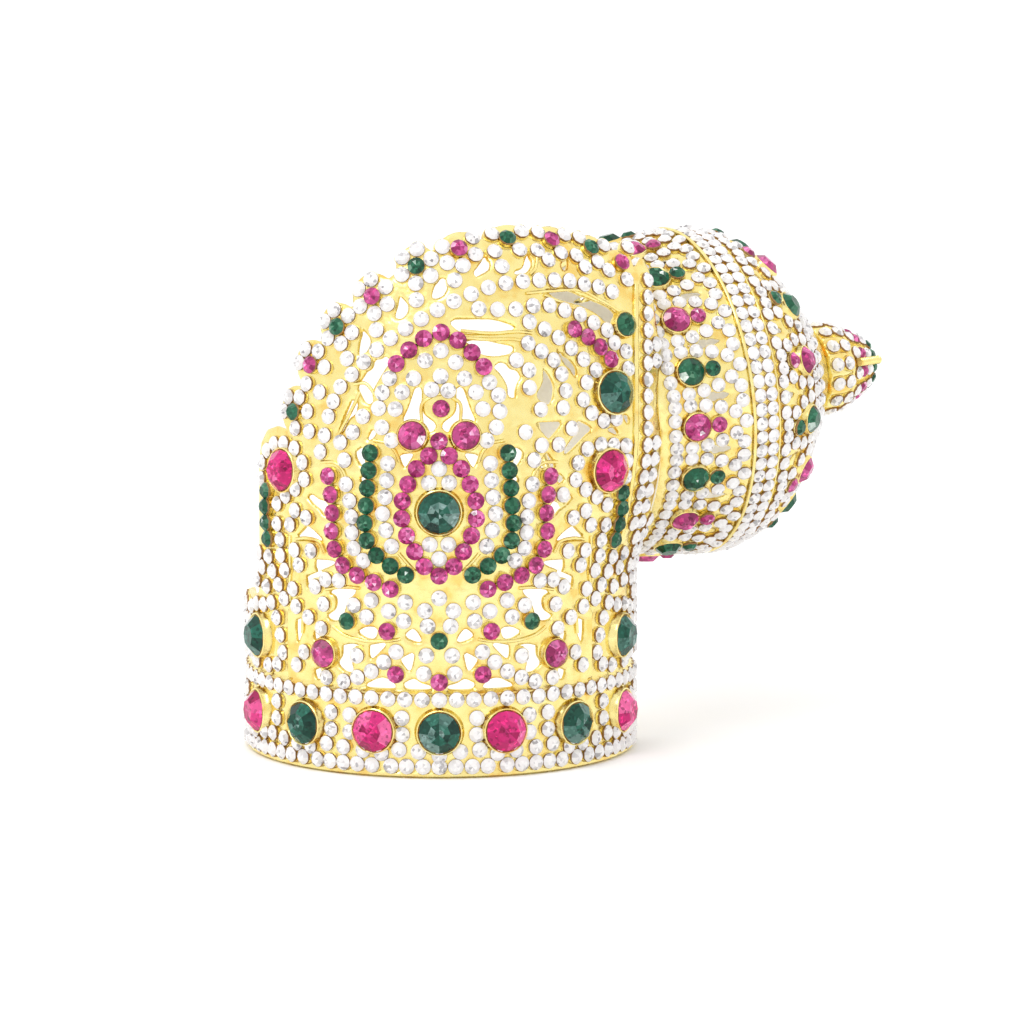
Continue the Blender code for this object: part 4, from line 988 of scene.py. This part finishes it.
WIRE_MAKER = wire_maker()
veins = list(SINGLE_VEINS)
for path in MIRRORED_VEINS:
    veins += [path, [(-s, h) for s, h in path]]
neck_path = ((NECK_LINE, LEAN_START), (NECK_LINE, NECK_RIDGE_TOP))
for name, radius, paths in (("tracery_wires", VEIN_RADIUS, veins),
                            ("neck_wire", NECK_WIRE_RADIUS, [neck_path])):
    chart = np.vstack([smooth_path(path, WIRE_STEPS) for path in paths])
    points = on_sheet(chart[:, 0], chart[:, 1], np.full(len(chart), WIRE_LEVEL))
    steps = [(k, k + 1) for k in range(len(chart) - 1) if (k + 1) % WIRE_STEPS]
    lines = bpy.data.meshes.new("lines")
    lines.from_pydata((points * MM).tolist(), steps, [])
    wire_mesh = run_tree(name, WIRE_MAKER, lines, {"Radius": radius * MM, "Finish": gold})
    face_outwards(wire_mesh)
    add_piece(name, wire_mesh, "gold")

# Glass stones with foil backs: eight crown facets and a table through which the back's facets show,
# over a conical back whose lacquered foil is dark brown. That brown on the back and sides is also painted
# shade for the gap between stone and cup, and each facet's chance shade is a painted reflection. Each sits
# in a low gold cup or a collet.
TABLE_SHARE = 0.56
BACK_SHARE = 0.82
BACK_DEPTH = 0.5
EDGE_LEVEL = -0.06
GIRDLE_LEVEL = 0.13
RING_SHARP = math.radians(40.0)
FACETS = 8                      # a crown's facets, each with two corners at the girdle


def cut_stone(name, inner_share, edge_share):
    """A stone of radius 1 that stands on Z = 0. Its crown's faces carry the mark front.

    inner_share is how much of the table its middle facets take up, and edge_share is the radius of
    the edge under the girdle."""
    bm = bmesh.new()
    marks = bm.faces.layers.float.new("front")
    half = math.cos(math.pi / FACETS)
    mid_drop = (1.0 - half) * (STONE_HEIGHT - GIRDLE_LEVEL) / (half * (1.0 - TABLE_SHARE))
    foot, edge, girdle = [], [], []
    sides = 2 * FACETS
    for k in range(sides):
        turn = math.pi * k / FACETS
        x, y = math.cos(turn), math.sin(turn)
        foot.append(bm.verts.new((x * BACK_SHARE, y * BACK_SHARE, -BACK_DEPTH)))
        edge.append(bm.verts.new((x * edge_share, y * edge_share, EDGE_LEVEL)))
        girdle.append(bm.verts.new((x, y, GIRDLE_LEVEL - (mid_drop if k % 2 else 0.0))))
    rings = []
    for share in (TABLE_SHARE, TABLE_SHARE * inner_share) if inner_share else (TABLE_SHARE,):
        rings.append([bm.verts.new((share * math.cos(2.0 * math.pi * k / FACETS),
                                    share * math.sin(2.0 * math.pi * k / FACETS), STONE_HEIGHT))
                      for k in range(FACETS)])
    middle = bm.verts.new((0.0, 0.0, STONE_HEIGHT))

    def add_face(corners, mark):
        bm.faces.new(corners)[marks] = mark

    for k in range(sides):
        after = (k + 1) % sides
        add_face((foot[k], foot[after], edge[after], edge[k]), 0.0)
        add_face((edge[k], edge[after], girdle[after], girdle[k]), 0.0)
    for k in range(FACETS):
        after = (k + 1) % FACETS
        add_face((girdle[2 * k], girdle[2 * k + 1], girdle[2 * after], rings[0][after], rings[0][k]), 1.0)
        if inner_share:
            add_face((rings[0][k], rings[0][after], rings[1][after], rings[1][k]), 1.0)
        add_face((rings[-1][k], rings[-1][after], middle), 1.0)
    mesh = bpy.data.meshes.new(name)
    bm.to_mesh(mesh)
    bm.free()
    return mesh


def turned_ring(name, profile, sides):
    """A turned ring from a closed loop of (radius, level) points, run inner side down, outer side up."""
    turns = [2.0 * math.pi * k / sides for k in range(sides)]
    points = [(r * math.cos(t), r * math.sin(t), z) for t in turns for r, z in profile]
    count = len(profile)
    faces = []
    for k in range(sides):
        here, after = k * count, (k + 1) % sides * count
        for j in range(count):
            following = (j + 1) % count
            faces.append((here + j, after + j, after + following, here + following))
    mesh = bpy.data.meshes.new(name)
    mesh.from_pydata(points, [], faces)
    face_outwards(mesh, RING_SHARP)
    return mesh


def stone_setter():
    """The node tree that sets one shape at every point, stood on the point's normal.

    Each face of the result carries its own chance value, glint, which picks its facet's painted shade or
    painted reflection."""
    tree, (places, shape, seed, finish) = start_tree("set_shapes", {
        "Places": "Geometry", "Shape": "Object", "Seed": "Int", "Finish": "Material"})

    def stored(label, kind):
        return places.node("GeometryNodeInputNamedAttribute", {"data_type": kind}, {"Name": label})

    rotation = places.node("FunctionNodeAlignRotationToVector", {"axis": "Z"},
                           {"Vector": stored("out", "FLOAT_VECTOR")})
    rotation = places.node("FunctionNodeAlignRotationToVector", {"axis": "X", "pivot_axis": "Z"},
                           {"Rotation": rotation, "Vector": stored("ahead", "FLOAT_VECTOR")})
    original = places.node("GeometryNodeObjectInfo", None, {"Object": shape}, out="Geometry")
    copies = places.node("GeometryNodeInstanceOnPoints", None, {
        "Points": places, "Instance": original, "Rotation": rotation, "Scale": stored("size", "FLOAT")})
    solid = places.node("GeometryNodeRealizeInstances", None, {"Geometry": copies})
    chance = places.node("FunctionNodeRandomValue", {"data_type": "FLOAT"}, {8: seed}, out=1)
    solid = places.node("GeometryNodeStoreNamedAttribute", {"data_type": "FLOAT", "domain": "FACE"},
                        {"Geometry": solid, "Name": "glint", "Value": chance})
    end_tree(solid, finish)
    return tree


SETTER = stone_setter()
GOLD_PLATE = (gold, "gold")


def set_shapes(name, shape, places, sizes, finish=GOLD_PLATE, stands_for=(), seed=1):
    """Set a shape at places, each a point, its normal and the way ahead, and keep one plain mesh.

    finish is a material and its slot."""
    material, slot = finish
    points = bpy.data.meshes.new("places")
    point, normal, ahead = (np.asarray(part, float) for part in places)
    points.from_pydata((point * MM).tolist(), [], [])
    for label, values in (("out", normal), ("ahead", ahead)):
        points.attributes.new(label, "FLOAT_VECTOR", "POINT").data.foreach_set("vector", values.ravel())
    points.attributes.new("size", "FLOAT", "POINT").data.foreach_set(
        "value", np.broadcast_to(np.asarray(sizes, float) * MM, len(point)).copy())
    mesh = run_tree(name, SETTER, points, {"Shape": shape, "Seed": seed, "Finish": material})
    return add_piece(name, mesh, slot, stands_for)


def sheet_places(chart, level):
    """Points at a level above the sheet, their normals and the way along the sheet."""
    s, h = np.array([row[:2] for row in chart], float).T
    point = on_sheet(s, h)
    normal = sheet_normal(s, h)
    ahead = on_sheet(s + 0.01, h) - point
    return point + normal * level, normal, ahead


# Dark brown of the lacquered foil; on the stones' sides it is also painted shade for the gap round each stone
FOIL_AND_GAP_SHADE = (0.33, 0.18, 0.07, 1.0)
# Stops of a ramp: where each stands between 0 and 1, and its colour
# Painted reflections of the back's facets: dark specks, and bright sparkles past 1
DEEP_REFLECTION_SPECKS = ((0.0, (0.45, 0.45, 0.45)), (0.25, (0.9, 0.9, 0.9)), (0.8, (1.0, 1.0, 1.0)),
               (1.0, (1.7, 1.5, 1.6)))
CLEAR_REFLECTION_SPECKS = ((0.0, (0.40, 0.39, 0.41)), (0.05, (0.68, 0.67, 0.69)), (0.09, (0.97, 0.96, 0.97)),
                (1.0, (1.0, 1.0, 1.0)))
SPECK_SCALE = 1700.0


def foiled_glass(name, slot, shades, specks=DEEP_REFLECTION_SPECKS):
    """A stone's material and slot: each facet takes a shade by chance, a painted reflection, and the back is
    dark foil, whose brown on the sides is also painted shade for the gap round the stone.

    The back's small facets show through as specks of another shade, painted reflections both dark and bright."""
    material, wire = new_material(name)
    glint = wire.node("ShaderNodeAttribute", {"attribute_name": "glint"}, out="Fac")
    front = wire.node("ShaderNodeAttribute", {"attribute_name": "front"}, out="Fac")
    shade = wire.node("ShaderNodeValToRGB", {"stops": shades}, {"Fac": glint})
    spot = wire.node("ShaderNodeTexCoord", out="Object")
    cell = wire.node("ShaderNodeTexVoronoi", None, {"Vector": spot, "Scale": SPECK_SCALE}, out="Color")
    cell = wire.node("ShaderNodeSeparateXYZ", None, {0: cell}, out="X")
    # Painted reflections as specks, multiplied into each facet's shade
    speck = wire.node("ShaderNodeValToRGB", {"stops": specks}, {"Fac": cell})
    shade = wire.node("ShaderNodeMix", {"data_type": "RGBA", "blend_type": "MULTIPLY"},
                      {0: 1.0, 6: shade, 7: speck}, out=2)
    colour = wire.node("ShaderNodeMix", {"data_type": "RGBA"}, {0: front, 6: FOIL_AND_GAP_SHADE, 7: shade}, out=2)
    finish_material(wire, {"Base Color": colour, "Roughness": 0.06, "IOR": 1.45,
                           "Specular IOR Level": 0.3})
    return material, slot


# Each facet's shade is painted: the light stops stand for reflections, the dark ones for shade
GLASS = {
    "green": foiled_glass("emerald_glass", "green_stone", (
        (0.0, (0.004, 0.030, 0.022)), (0.30, (0.008, 0.070, 0.044)), (0.60, (0.020, 0.125, 0.085)),
        (0.80, (0.080, 0.180, 0.150)), (1.0, (0.180, 0.290, 0.260)))),
    "magenta": foiled_glass("ruby_glass", "magenta_stone", (
        (0.0, (0.300, 0.006, 0.075)), (0.35, (0.500, 0.014, 0.135)), (0.75, (0.640, 0.030, 0.200)),
        (1.0, (0.820, 0.150, 0.360)))),
}
# On the small stones a stop past 0.97, nearly white, paints a highlight on a few facets
SMALL_GLASS = {
    "green": foiled_glass("small_emerald_glass", "green_stone", (
        (0.0, (0.004, 0.045, 0.020)), (0.40, (0.012, 0.090, 0.045)), (0.80, (0.028, 0.140, 0.075)),
        (0.97, (0.100, 0.240, 0.150)), (1.0, (0.850, 0.950, 0.900)))),
    "magenta": foiled_glass("small_ruby_glass", "magenta_stone", (
        (0.0, (0.230, 0.018, 0.085)), (0.35, (0.410, 0.045, 0.175)), (0.75, (0.540, 0.080, 0.260)),
        (0.97, (0.700, 0.200, 0.430)), (1.0, (1.0, 0.85, 0.92)))),
}
# The clear stones' few grey facets are painted reflections of the darker room
CLEAR_GLASS = foiled_glass("clear_glass", "clear_stone", (
    (0.0, (0.44, 0.43, 0.43)), (0.07, (0.66, 0.645, 0.64)), (0.18, (0.79, 0.775, 0.765)),
    (1.0, (0.88, 0.87, 0.86))), CLEAR_REFLECTION_SPECKS)

# Cups and collets as loops of radius and level, in shares of their stone's radius
CUP_LOOP = ((0.80, -0.6), (0.88, -0.34), (1.02, -0.16), (1.10, -0.18), (1.14, -0.6))
COLLET_LOOP = ((0.8, -0.45), (0.9, -0.1), (1.01, 0.06), (1.06, 0.10), (1.11, 0.06), (1.13, -0.10),
               (1.20, -0.20), (1.23, -0.45))
MASTERS = [bpy.data.objects.new(mesh.name, mesh) for mesh in (
    cut_stone("big_cut", inner_share=0.45, edge_share=1.0),
    cut_stone("small_cut", inner_share=0.0, edge_share=1.04),
    turned_ring("cup", CUP_LOOP, sides=16), turned_ring("collet", COLLET_LOOP, sides=40))]
BIG_CUT, SMALL_CUT, CUP, COLLET = MASTERS

MAIN_SEAT = COLLET_RISE + FIT_GAP
for index, (name, s, h, radius, colour) in enumerate(MAIN_STONES):
    finish = (GLASS if radius == BIG_RADIUS else SMALL_GLASS)[colour]
    set_shapes(name + "_cut", BIG_CUT, sheet_places([(s, h)], MAIN_SEAT), radius, finish, (name,), seed=index)
rows = [row[1:4] for row in MAIN_STONES]
set_shapes("collets", COLLET, sheet_places(rows, MAIN_SEAT), [row[2] for row in rows])

SMALL_SEAT = 1.0
DRAWN_RADIUS = 1.70             # the small coloured stones stand a little over their cups' rims
singles = [(f"crest_stone_{k + 1}", s, h, SCALLOPS[k][3]) for k, (s, h, _) in enumerate(scallop_places())]
singles += [(f"motif_stone_{k + 1}", s, h, colour) for k, (s, h, colour) in enumerate(MOTIF_STONES)]
for index, (name, s, h, colour) in enumerate(singles):
    set_shapes(name + "_cut", SMALL_CUT, sheet_places([(s, h)], SMALL_SEAT), DRAWN_RADIUS,
               SMALL_GLASS[colour], (name,), seed=40 + index)
set_shapes("single_cups", CUP, sheet_places([row[1:3] for row in singles], SMALL_SEAT), SMALL_RADIUS)

for index, (name, (_, _, colour)) in enumerate(STRINGS.items()):
    for sign, side in ((1, "_left"), (-1, "_right")) if name in MIRRORED_STRINGS else ((1, ""),):
        places = sheet_places(string_places(name, sign), SMALL_SEAT)
        set_shapes(name + side + "_stones", SMALL_CUT, places, DRAWN_RADIUS, SMALL_GLASS[colour],
                   (name + side,), seed=70 + 2 * index + sign)
        set_shapes(name + side + "_cups", CUP, places, SMALL_RADIUS)

# The clear stones are round foiled glass of one small size, each pressed into a low gold cup that is
# soldered on. Their rows follow the lines of the tracery and fill the whole sheet.
CLEAR_SEAT = 0.5
places = sheet_places(CLEAR, CLEAR_SEAT)
set_shapes("clear_stones", SMALL_CUT, places, CLEAR_RADIUS, CLEAR_GLASS, seed=90)
set_shapes("clear_cups", CUP, places, CLEAR_RADIUS)

# The bun is a hollow domed shell of thin gold-plated sheet, spun on a form, pierced between its petals
# and soldered by its rim to the neck. Its inside is plain and pale.
BUN_WALL = 0.6
PETALS = 18
PETAL_PHASE = math.radians(-17.0)
OUTER_PETALS = 14
OUTER_PHASE = math.radians(10.0)
INNER_LEAF = (11.6, 6.4, 1.9)   # a gap's place along the axis, its length and its width
OUTER_LEAF = (28.4, 4.6, 1.5)
BUN_GRID = 0.6
BUN_FIRST_LINE = 0.001
BUN_CLEAR_RADIUS = 1.42
LEAF_ROUND = 0.3
BUN_EDGE_SHARE = 0.6            # its thinner sheet's edges are rounded less than the crown's

profile = BUN_PROFILE * (BUN_LENGTH, BUN_RADIUS)
profile_run = np.concatenate([[0.0], np.cumsum(np.hypot(*np.diff(profile, axis=0).T))])
BUN_ARC = profile_run[-1]


def bun_run(along):
    """The distance along the bun's profile from the rim, for a distance along its axis."""
    return np.interp(along, profile[:-1, 0], profile_run[:-1])


FINE_STEPS = 400
SOFTEN = 13                     # how many of them each smoothing of the profile runs over

fine_run = np.linspace(0.0, BUN_ARC, FINE_STEPS)
fine_along = np.interp(fine_run, profile_run, profile[:, 0])
fine_radius = np.interp(fine_run, profile_run, profile[:, 1])
kernel = np.ones(SOFTEN) / SOFTEN
inner = slice(SOFTEN // 2, -(SOFTEN // 2))
for _ in range(2):
    for line in (fine_radius, fine_along):
        line[inner] = np.convolve(line, kernel, "valid")


def on_turned(angle, run, level, profile, step):
    """Points at a level above a turned face, at an angle from its near side downwards.

    profile holds runs along the face, and the place along the bun's axis and the radius at each."""
    runs, alongs, radii = profile
    ahead = np.interp(run + step, runs, alongs) - np.interp(run - step, runs, alongs)
    outward = np.interp(run + step, runs, radii) - np.interp(run - step, runs, radii)
    length = np.hypot(ahead, outward)
    out = np.interp(run, runs, radii) + level * ahead / length
    axial = np.interp(run, runs, alongs) - level * outward / length
    spoke = np.cos(angle)[..., None] * BUN_NEAR + np.sin(angle)[..., None] * BUN_DOWN
    return BUN_RIM + spoke * out[..., None] + BUN_AXIS * axial[..., None]


def on_bun(angle, run, level):
    """Points at a level above the bun's outer face, at a run from its rim."""
    return on_turned(angle, run, level, (fine_run, fine_along, fine_radius), step=0.2)


def ring_places(face, angle, run, level):
    """Points at a level above a turned face, their normals and the way round the ring."""
    angle, run = np.broadcast_arrays(np.asarray(angle, float), np.asarray(run, float))
    point = face(angle, run, level)
    return point, face(angle, run, level + 1.0) - point, face(angle + 0.001, run, level) - point


def leaf_depth(along, across, length, width):
    """How deep a place lies inside a leaf-shaped gap with rounded tips."""
    length, width = length - 2 * LEAF_ROUND, width - 2 * LEAF_ROUND
    radius = (length ** 2 + width ** 2) / (4.0 * width)
    return radius + LEAF_ROUND - np.hypot(along, np.abs(across) + radius - width / 2.0)


def place_bun(angle, run, metal, wall):
    """Points of the dome's outer face, or of its inner face."""
    level = -rounded(metal) * BUN_EDGE_SHARE if wall is None else np.full(angle.shape, -wall)
    return on_bun(angle, run, level)


columns = int(2.0 * math.pi * BUN_RADIUS / BUN_GRID)
angle_lines = np.arange(columns) * 2.0 * math.pi / columns
run_lines = np.concatenate([[-BUN_GRID], np.arange(BUN_FIRST_LINE, BUN_ARC + 2 * BUN_GRID, BUN_GRID)])
grid_angle, grid_run = np.meshgrid(angle_lines, run_lines, indexing="ij")
bun_metal = np.minimum(grid_run, BUN_ARC - grid_run)
for count, phase, (along, length, width) in ((PETALS, PETAL_PHASE, INNER_LEAF),
                                             (OUTER_PETALS, OUTER_PHASE, OUTER_LEAF)):
    pitch = 2.0 * math.pi / count
    turn = (grid_angle - phase) % pitch - pitch / 2.0
    across = turn * bun_radius(along)
    bun_metal = np.minimum(bun_metal, -leaf_depth(grid_run - bun_run(along), across, length, width))
bun_mesh = pierced_shell("bun_shell", angle_lines, run_lines, bun_metal, place_bun, BUN_WALL,
                         pale_lining, wraps=True)
add_piece("bun_shell", bun_mesh, "gold", ("bun_dome",))

# Two rings of petals go round the bun. In each petal a medium and a small glass stone sit in soldered
# gold settings, green and magenta by turns, and a border of clear stones in cups follows its edge.
PETAL_RINGS = (
    # node, petals, phase, big stones along, small stones along
    ("bun_inner_ring", PETALS, PETAL_PHASE, INNER_RING_ALONG, 11.8),
    ("bun_outer_ring", OUTER_PETALS, OUTER_PHASE, OUTER_RING_ALONG, 30.1),
)
RING_SEAT = CUP_GAP + CUP_RISE


def bun_ring(turns, along):
    """Places for stones round the bun."""
    return ring_places(on_bun, turns, bun_run(along), RING_SEAT)


for name, count, phase, big_along, small_along in PETAL_RINGS:
    turns = phase + 2.0 * math.pi / count * np.arange(count)
    for which, (colour, finish) in enumerate(SMALL_GLASS.items()):
        set_shapes(f"{name}_big_{colour}", BIG_CUT, bun_ring(turns[which::2], big_along), MEDIUM_RADIUS,
                   finish, () if which else (name,), seed=100 + which)
        set_shapes(f"{name}_small_{colour}", SMALL_CUT, bun_ring(turns[which::2], small_along),
                   SMALL_RADIUS, finish, seed=110 + which)
    set_shapes(name + "_collets", COLLET, bun_ring(turns, big_along), MEDIUM_RADIUS)
    set_shapes(name + "_cups", CUP, bun_ring(turns, small_along), SMALL_RADIUS)

# A petal's border of clear stones: places along the axis, and to the side of the petal's middle line
INNER_BORDER = ((3.0, -4.15), (6.7, -4.2), (11.0, -3.7), (15.0, -2.4), (17.7, 0.0), (15.0, 2.4),
                (11.0, 3.7), (6.7, 4.2), (3.0, 4.15))
INNER_FOOT = [(2.8, -1.5), (2.8, 1.5)]
OUTER_BORDER = ((35.2, -4.25), (33.2, -4.35), (30.3, -3.7), (26.8, 0.0), (30.3, 3.7), (33.2, 4.35),
                (35.2, 4.25))
CLEAR_PETALS = (
    # petals, phase, border with its foot, then between two petals: along, and places to the side
    (PETALS, PETAL_PHASE, smooth_path(INNER_BORDER, 11) + INNER_FOOT, 17.2, (-1.45, 1.45)),
    (OUTER_PETALS, OUTER_PHASE, smooth_path(OUTER_BORDER, 8), 26.9, (-3.1, 0.0, 3.1)),
)
WAIST_ROWS = [20.9, 23.5]
END_ROWS_FROM = 38.3
END_ROWS = 3
ROW_PITCH = 2.1 * BUN_CLEAR_RADIUS
STONE_PITCH = 1.98 * BUN_CLEAR_RADIUS
bun_clear = []
for count, phase, border, between_along, between in CLEAR_PETALS:
    for k in range(count):
        centre = phase + 2.0 * math.pi / count * k
        side = centre + math.pi / count
        bun_clear += [(centre + off / bun_radius(along), along) for along, off in border]
        bun_clear += [(side + off / bun_radius(between_along), between_along) for off in between]
end_runs = bun_run(END_ROWS_FROM) + ROW_PITCH * np.arange(END_ROWS)
for along in WAIST_ROWS + list(np.interp(end_runs, profile_run, profile[:, 0])):
    count = int(2.0 * math.pi * bun_radius(along) / STONE_PITCH)
    bun_clear += [(2.0 * math.pi * k / count, along) for k in range(count)]
bun_turns, bun_alongs = np.array(bun_clear).T
places = ring_places(on_bun, bun_turns, bun_run(bun_alongs), CLEAR_SEAT)
set_shapes("bun_clear_stones", SMALL_CUT, places, BUN_CLEAR_RADIUS, CLEAR_GLASS, seed=120)
set_shapes("bun_clear_cups", CUP, places, BUN_CLEAR_RADIUS)

# The collar is a round gold wire, soldered into the bun's rim and to the neck. Two thinner wires are
# soldered round the dome, one on each side of its two full rows of clear stones.
COLLAR_ALONG = -FIT_GAP - COLLAR_WIDE / 2.0
BUN_WIRES = (
    # name, level above the dome, place along the axis, thickness, width, the CAD node that it stands for
    ("bun_collar_wire", -COLLAR_THICK / 2.0, COLLAR_ALONG, COLLAR_THICK, COLLAR_WIDE, ("bun_collar",)),
    ("bun_line_wire_1", 0.25, 19.3, 0.8, 0.8, ()),
    ("bun_line_wire_2", 0.15, 25.4, 0.6, 0.6, ()),
)
BUN_WIRE_STEPS = 120            # straight steps round the bun
BUN_WIRE_SIDES = 12
bun_turn = Matrix([[BUN_NEAR[k], BUN_DOWN[k], BUN_AXIS[k], MM * BUN_RIM[k]] for k in range(3)]
                  + [[0.0, 0.0, 0.0, 1.0]])
to_metres = Matrix.Scale(MM, 4)
for name, level, along, thick, wide, stands_for in BUN_WIRES:
    loop = [(bun_radius(along) + level - math.cos(t) * thick / 2.0, along - math.sin(t) * wide / 2.0)
            for t in np.arange(BUN_WIRE_SIDES) * 2.0 * math.pi / BUN_WIRE_SIDES]
    wire_mesh = turned_ring(name, loop, BUN_WIRE_STEPS)
    wire_mesh.transform(bun_turn @ to_metres)
    wire_mesh.materials.append(gold)
    add_piece(name, wire_mesh, "gold", stands_for)

# The finial is a gold cup, stamped with ribs round its side and drawn out to a cone, and soldered to the
# dome's end. Rings of small glass stones in cups stand between its ribs and round its cone.
FINIAL_RADIUS = 8.9
FINIAL_LENGTH = 13.7
FINIAL_WALL = 0.7
FINIAL_RIBS = 14
RIB_RISE = 0.45
RIB_SHARPNESS = 5.0
RIB_FADE = 0.06
CUP_COLUMNS = 12 * FINIAL_RIBS  # twelve for each rib
CUP_ROWS = 59
RIBS_END = 0.44
SEAM_TURN = math.radians(-12.0)
FINIAL_PROFILE = (
    # along, radius, as shares of the finial's length and radius
    (0.00, 0.88),
    (0.05, 0.97),
    (0.29, 0.96),
    (0.41, 0.88),
    (0.45, 0.89),
    (0.53, 0.77),
    (0.77, 0.60),
    (0.93, 0.40),
    (1.00, 0.00),
)


def fluted_cup():
    """The node tree of a turned cup with ribs along its side: a grid rolled round its axis."""
    tree, (_, radius, length, ribs, rise, ribs_end, wall, finish) = start_tree("fluted_cup", {
        "Blank": "Geometry", "Radius": "Float", "Length": "Float", "Ribs": "Float", "Rib Rise": "Float",
        "Ribs End": "Float", "Wall": "Float", "Finish": "Material"})
    sheet = radius.node("GeometryNodeMeshGrid", None, {
        "Size X": 1.0, "Size Y": 1.0, "Vertices X": CUP_COLUMNS + 1, "Vertices Y": CUP_ROWS + 1})
    spot = radius.node("GeometryNodeInputPosition")
    turn = (radius.node("ShaderNodeSeparateXYZ", None, {0: spot}, out="X") + 0.5) * (2.0 * math.pi)
    along = radius.node("ShaderNodeSeparateXYZ", None, {0: spot}, out="Y") + 0.5
    shape = radius.node("ShaderNodeFloatCurve", None, {"Value": along})
    curve = shape.socket.node.mapping
    for _ in FINIAL_PROFILE[2:]:
        curve.curves[0].points.new(0.5, 0.5)
    for point, place in zip(curve.curves[0].points, FINIAL_PROFILE):
        point.location = place
        point.handle_type = "AUTO_CLAMPED"
    curve.update()
    crest = radius.maths("POWER", radius.maths("COSINE", turn * ribs) * 0.5 + 0.5, RIB_SHARPNESS)
    fade = radius.node("ShaderNodeMapRange", {"interpolation_type": "SMOOTHSTEP"}, {
        "Value": along, "From Min": ribs_end, "From Max": ribs_end - RIB_FADE, "To Min": 0.0, "To Max": 1.0})
    reach = shape * radius + crest * fade * rise
    rolled = radius.node("ShaderNodeCombineXYZ", None, {
        0: reach * radius.maths("COSINE", turn), 1: reach * radius.maths("SINE", turn), 2: along * length})
    outer = radius.node("GeometryNodeSetPosition", None, {"Geometry": sheet, "Position": rolled})
    outer = radius.node("GeometryNodeMergeByDistance", None, {"Geometry": outer, "Distance": 0.00001})
    inner = radius.node("GeometryNodeExtrudeMesh", None, {
        "Mesh": outer, "Offset Scale": wall * -1.0, "Individual": False})
    back = radius.node("GeometryNodeFlipFaces", None, {"Mesh": inner})
    both = radius.node("GeometryNodeJoinGeometry", None, {0: outer})
    tree.links.new(back.socket, both.socket.node.inputs[0])
    shell = radius.node("GeometryNodeMergeByDistance", None, {"Geometry": both, "Distance": 0.00001})
    end_tree(shell, finish)
    return tree


finial_mesh = run_tree("finial_cup", fluted_cup(), bpy.data.meshes.new("blank"), {
    "Radius": FINIAL_RADIUS * MM, "Length": FINIAL_LENGTH * MM, "Ribs": float(FINIAL_RIBS),
    "Rib Rise": RIB_RISE * MM, "Ribs End": RIBS_END, "Wall": FINIAL_WALL * MM, "Finish": gold})
face_outwards(finial_mesh)
finial_turn = bun_turn.copy()
finial_turn.translation += Vector(BUN_AXIS) * (BUN_LENGTH + FIT_GAP) * MM
finial_mesh.transform(finial_turn)
add_piece("finial_cup", finial_mesh, "gold", ("finial",))

finial_along, finial_radius = (np.array(FINIAL_PROFILE) * (FINIAL_LENGTH, FINIAL_RADIUS)).T


def on_finial(angle, along, level):
    """Points at a level above the finial's side, at a place along it from its foot."""
    profile = (finial_along, finial_along + BUN_LENGTH + FIT_GAP, finial_radius)
    return on_turned(angle, along, level, profile, step=0.3)


FINIAL_SEAT = 0.45
FINIAL_ROWS = (
    # along, stones, radius, phase, glass
    (2.0, FINIAL_RIBS, 1.4, 0.0, CLEAR_GLASS),
    (4.7, FINIAL_RIBS, 1.4, 0.0, CLEAR_GLASS),
    (7.2, 11, 1.35, SEAM_TURN, CLEAR_GLASS),
    (8.8, 11, 1.25, SEAM_TURN, SMALL_GLASS["magenta"]),
    (10.4, 11, 1.2, SEAM_TURN, CLEAR_GLASS),
    (11.9, 11, 1.15, SEAM_TURN, SMALL_GLASS["green"]),
)
for index, (along, count, radius, phase, finish) in enumerate(FINIAL_ROWS):
    turns = phase + 2.0 * math.pi / count * (np.arange(count) + 0.5)
    places = ring_places(on_finial, turns, along, FINIAL_SEAT)
    set_shapes(f"finial_row_{index + 1}_stones", SMALL_CUT, places, radius, finish, seed=130 + index)
    set_shapes(f"finial_row_{index + 1}_cups", CUP, places, radius)

# A gold wire with a fine ridge round it, like a thread, is soldered along the finial's cone and stands
# out past its tip
SEAM_FROM = 6.4
SEAM_TO = 13.1
SEAM_LEVEL = 0.9
SEAM_INWARD = 4.2
SEAM_RADIUS = 0.66
SEAM_RIDGE = 0.22
SEAM_PITCH = 0.7
STEPS_A_RIDGE = 8
SEAM_SIDES = 14
SEAM_BORE = 0.01                # the ring that makes the wire closes on a bore of this radius

seam_start = on_finial(np.array([SEAM_TURN]), np.array([SEAM_FROM]), SEAM_LEVEL)[0]
seam_spoke = math.cos(SEAM_TURN) * BUN_NEAR + math.sin(SEAM_TURN) * BUN_DOWN
seam_way = Vector(BUN_AXIS * (SEAM_TO - SEAM_FROM) - seam_spoke * SEAM_INWARD)
seam_length = seam_way.length
seam_steps = int(seam_length / SEAM_PITCH * STEPS_A_RIDGE)
loop = [(SEAM_RADIUS + SEAM_RIDGE * math.cos(2.0 * math.pi * k / STEPS_A_RIDGE), seam_length * k / seam_steps)
        for k in range(seam_steps + 1)]
seam_mesh = turned_ring("finial_seam", [(SEAM_BORE, 0.0), *loop, (SEAM_BORE, seam_length)], SEAM_SIDES)
seam_turn = seam_way.to_track_quat("Z", "Y").to_matrix().to_4x4()
seam_turn.translation = Vector(seam_start) * MM
seam_mesh.transform(seam_turn @ to_metres)
seam_mesh.materials.append(gold)
add_piece("finial_seam", seam_mesh, "gold")

for master in MASTERS:
    bpy.data.objects.remove(master)
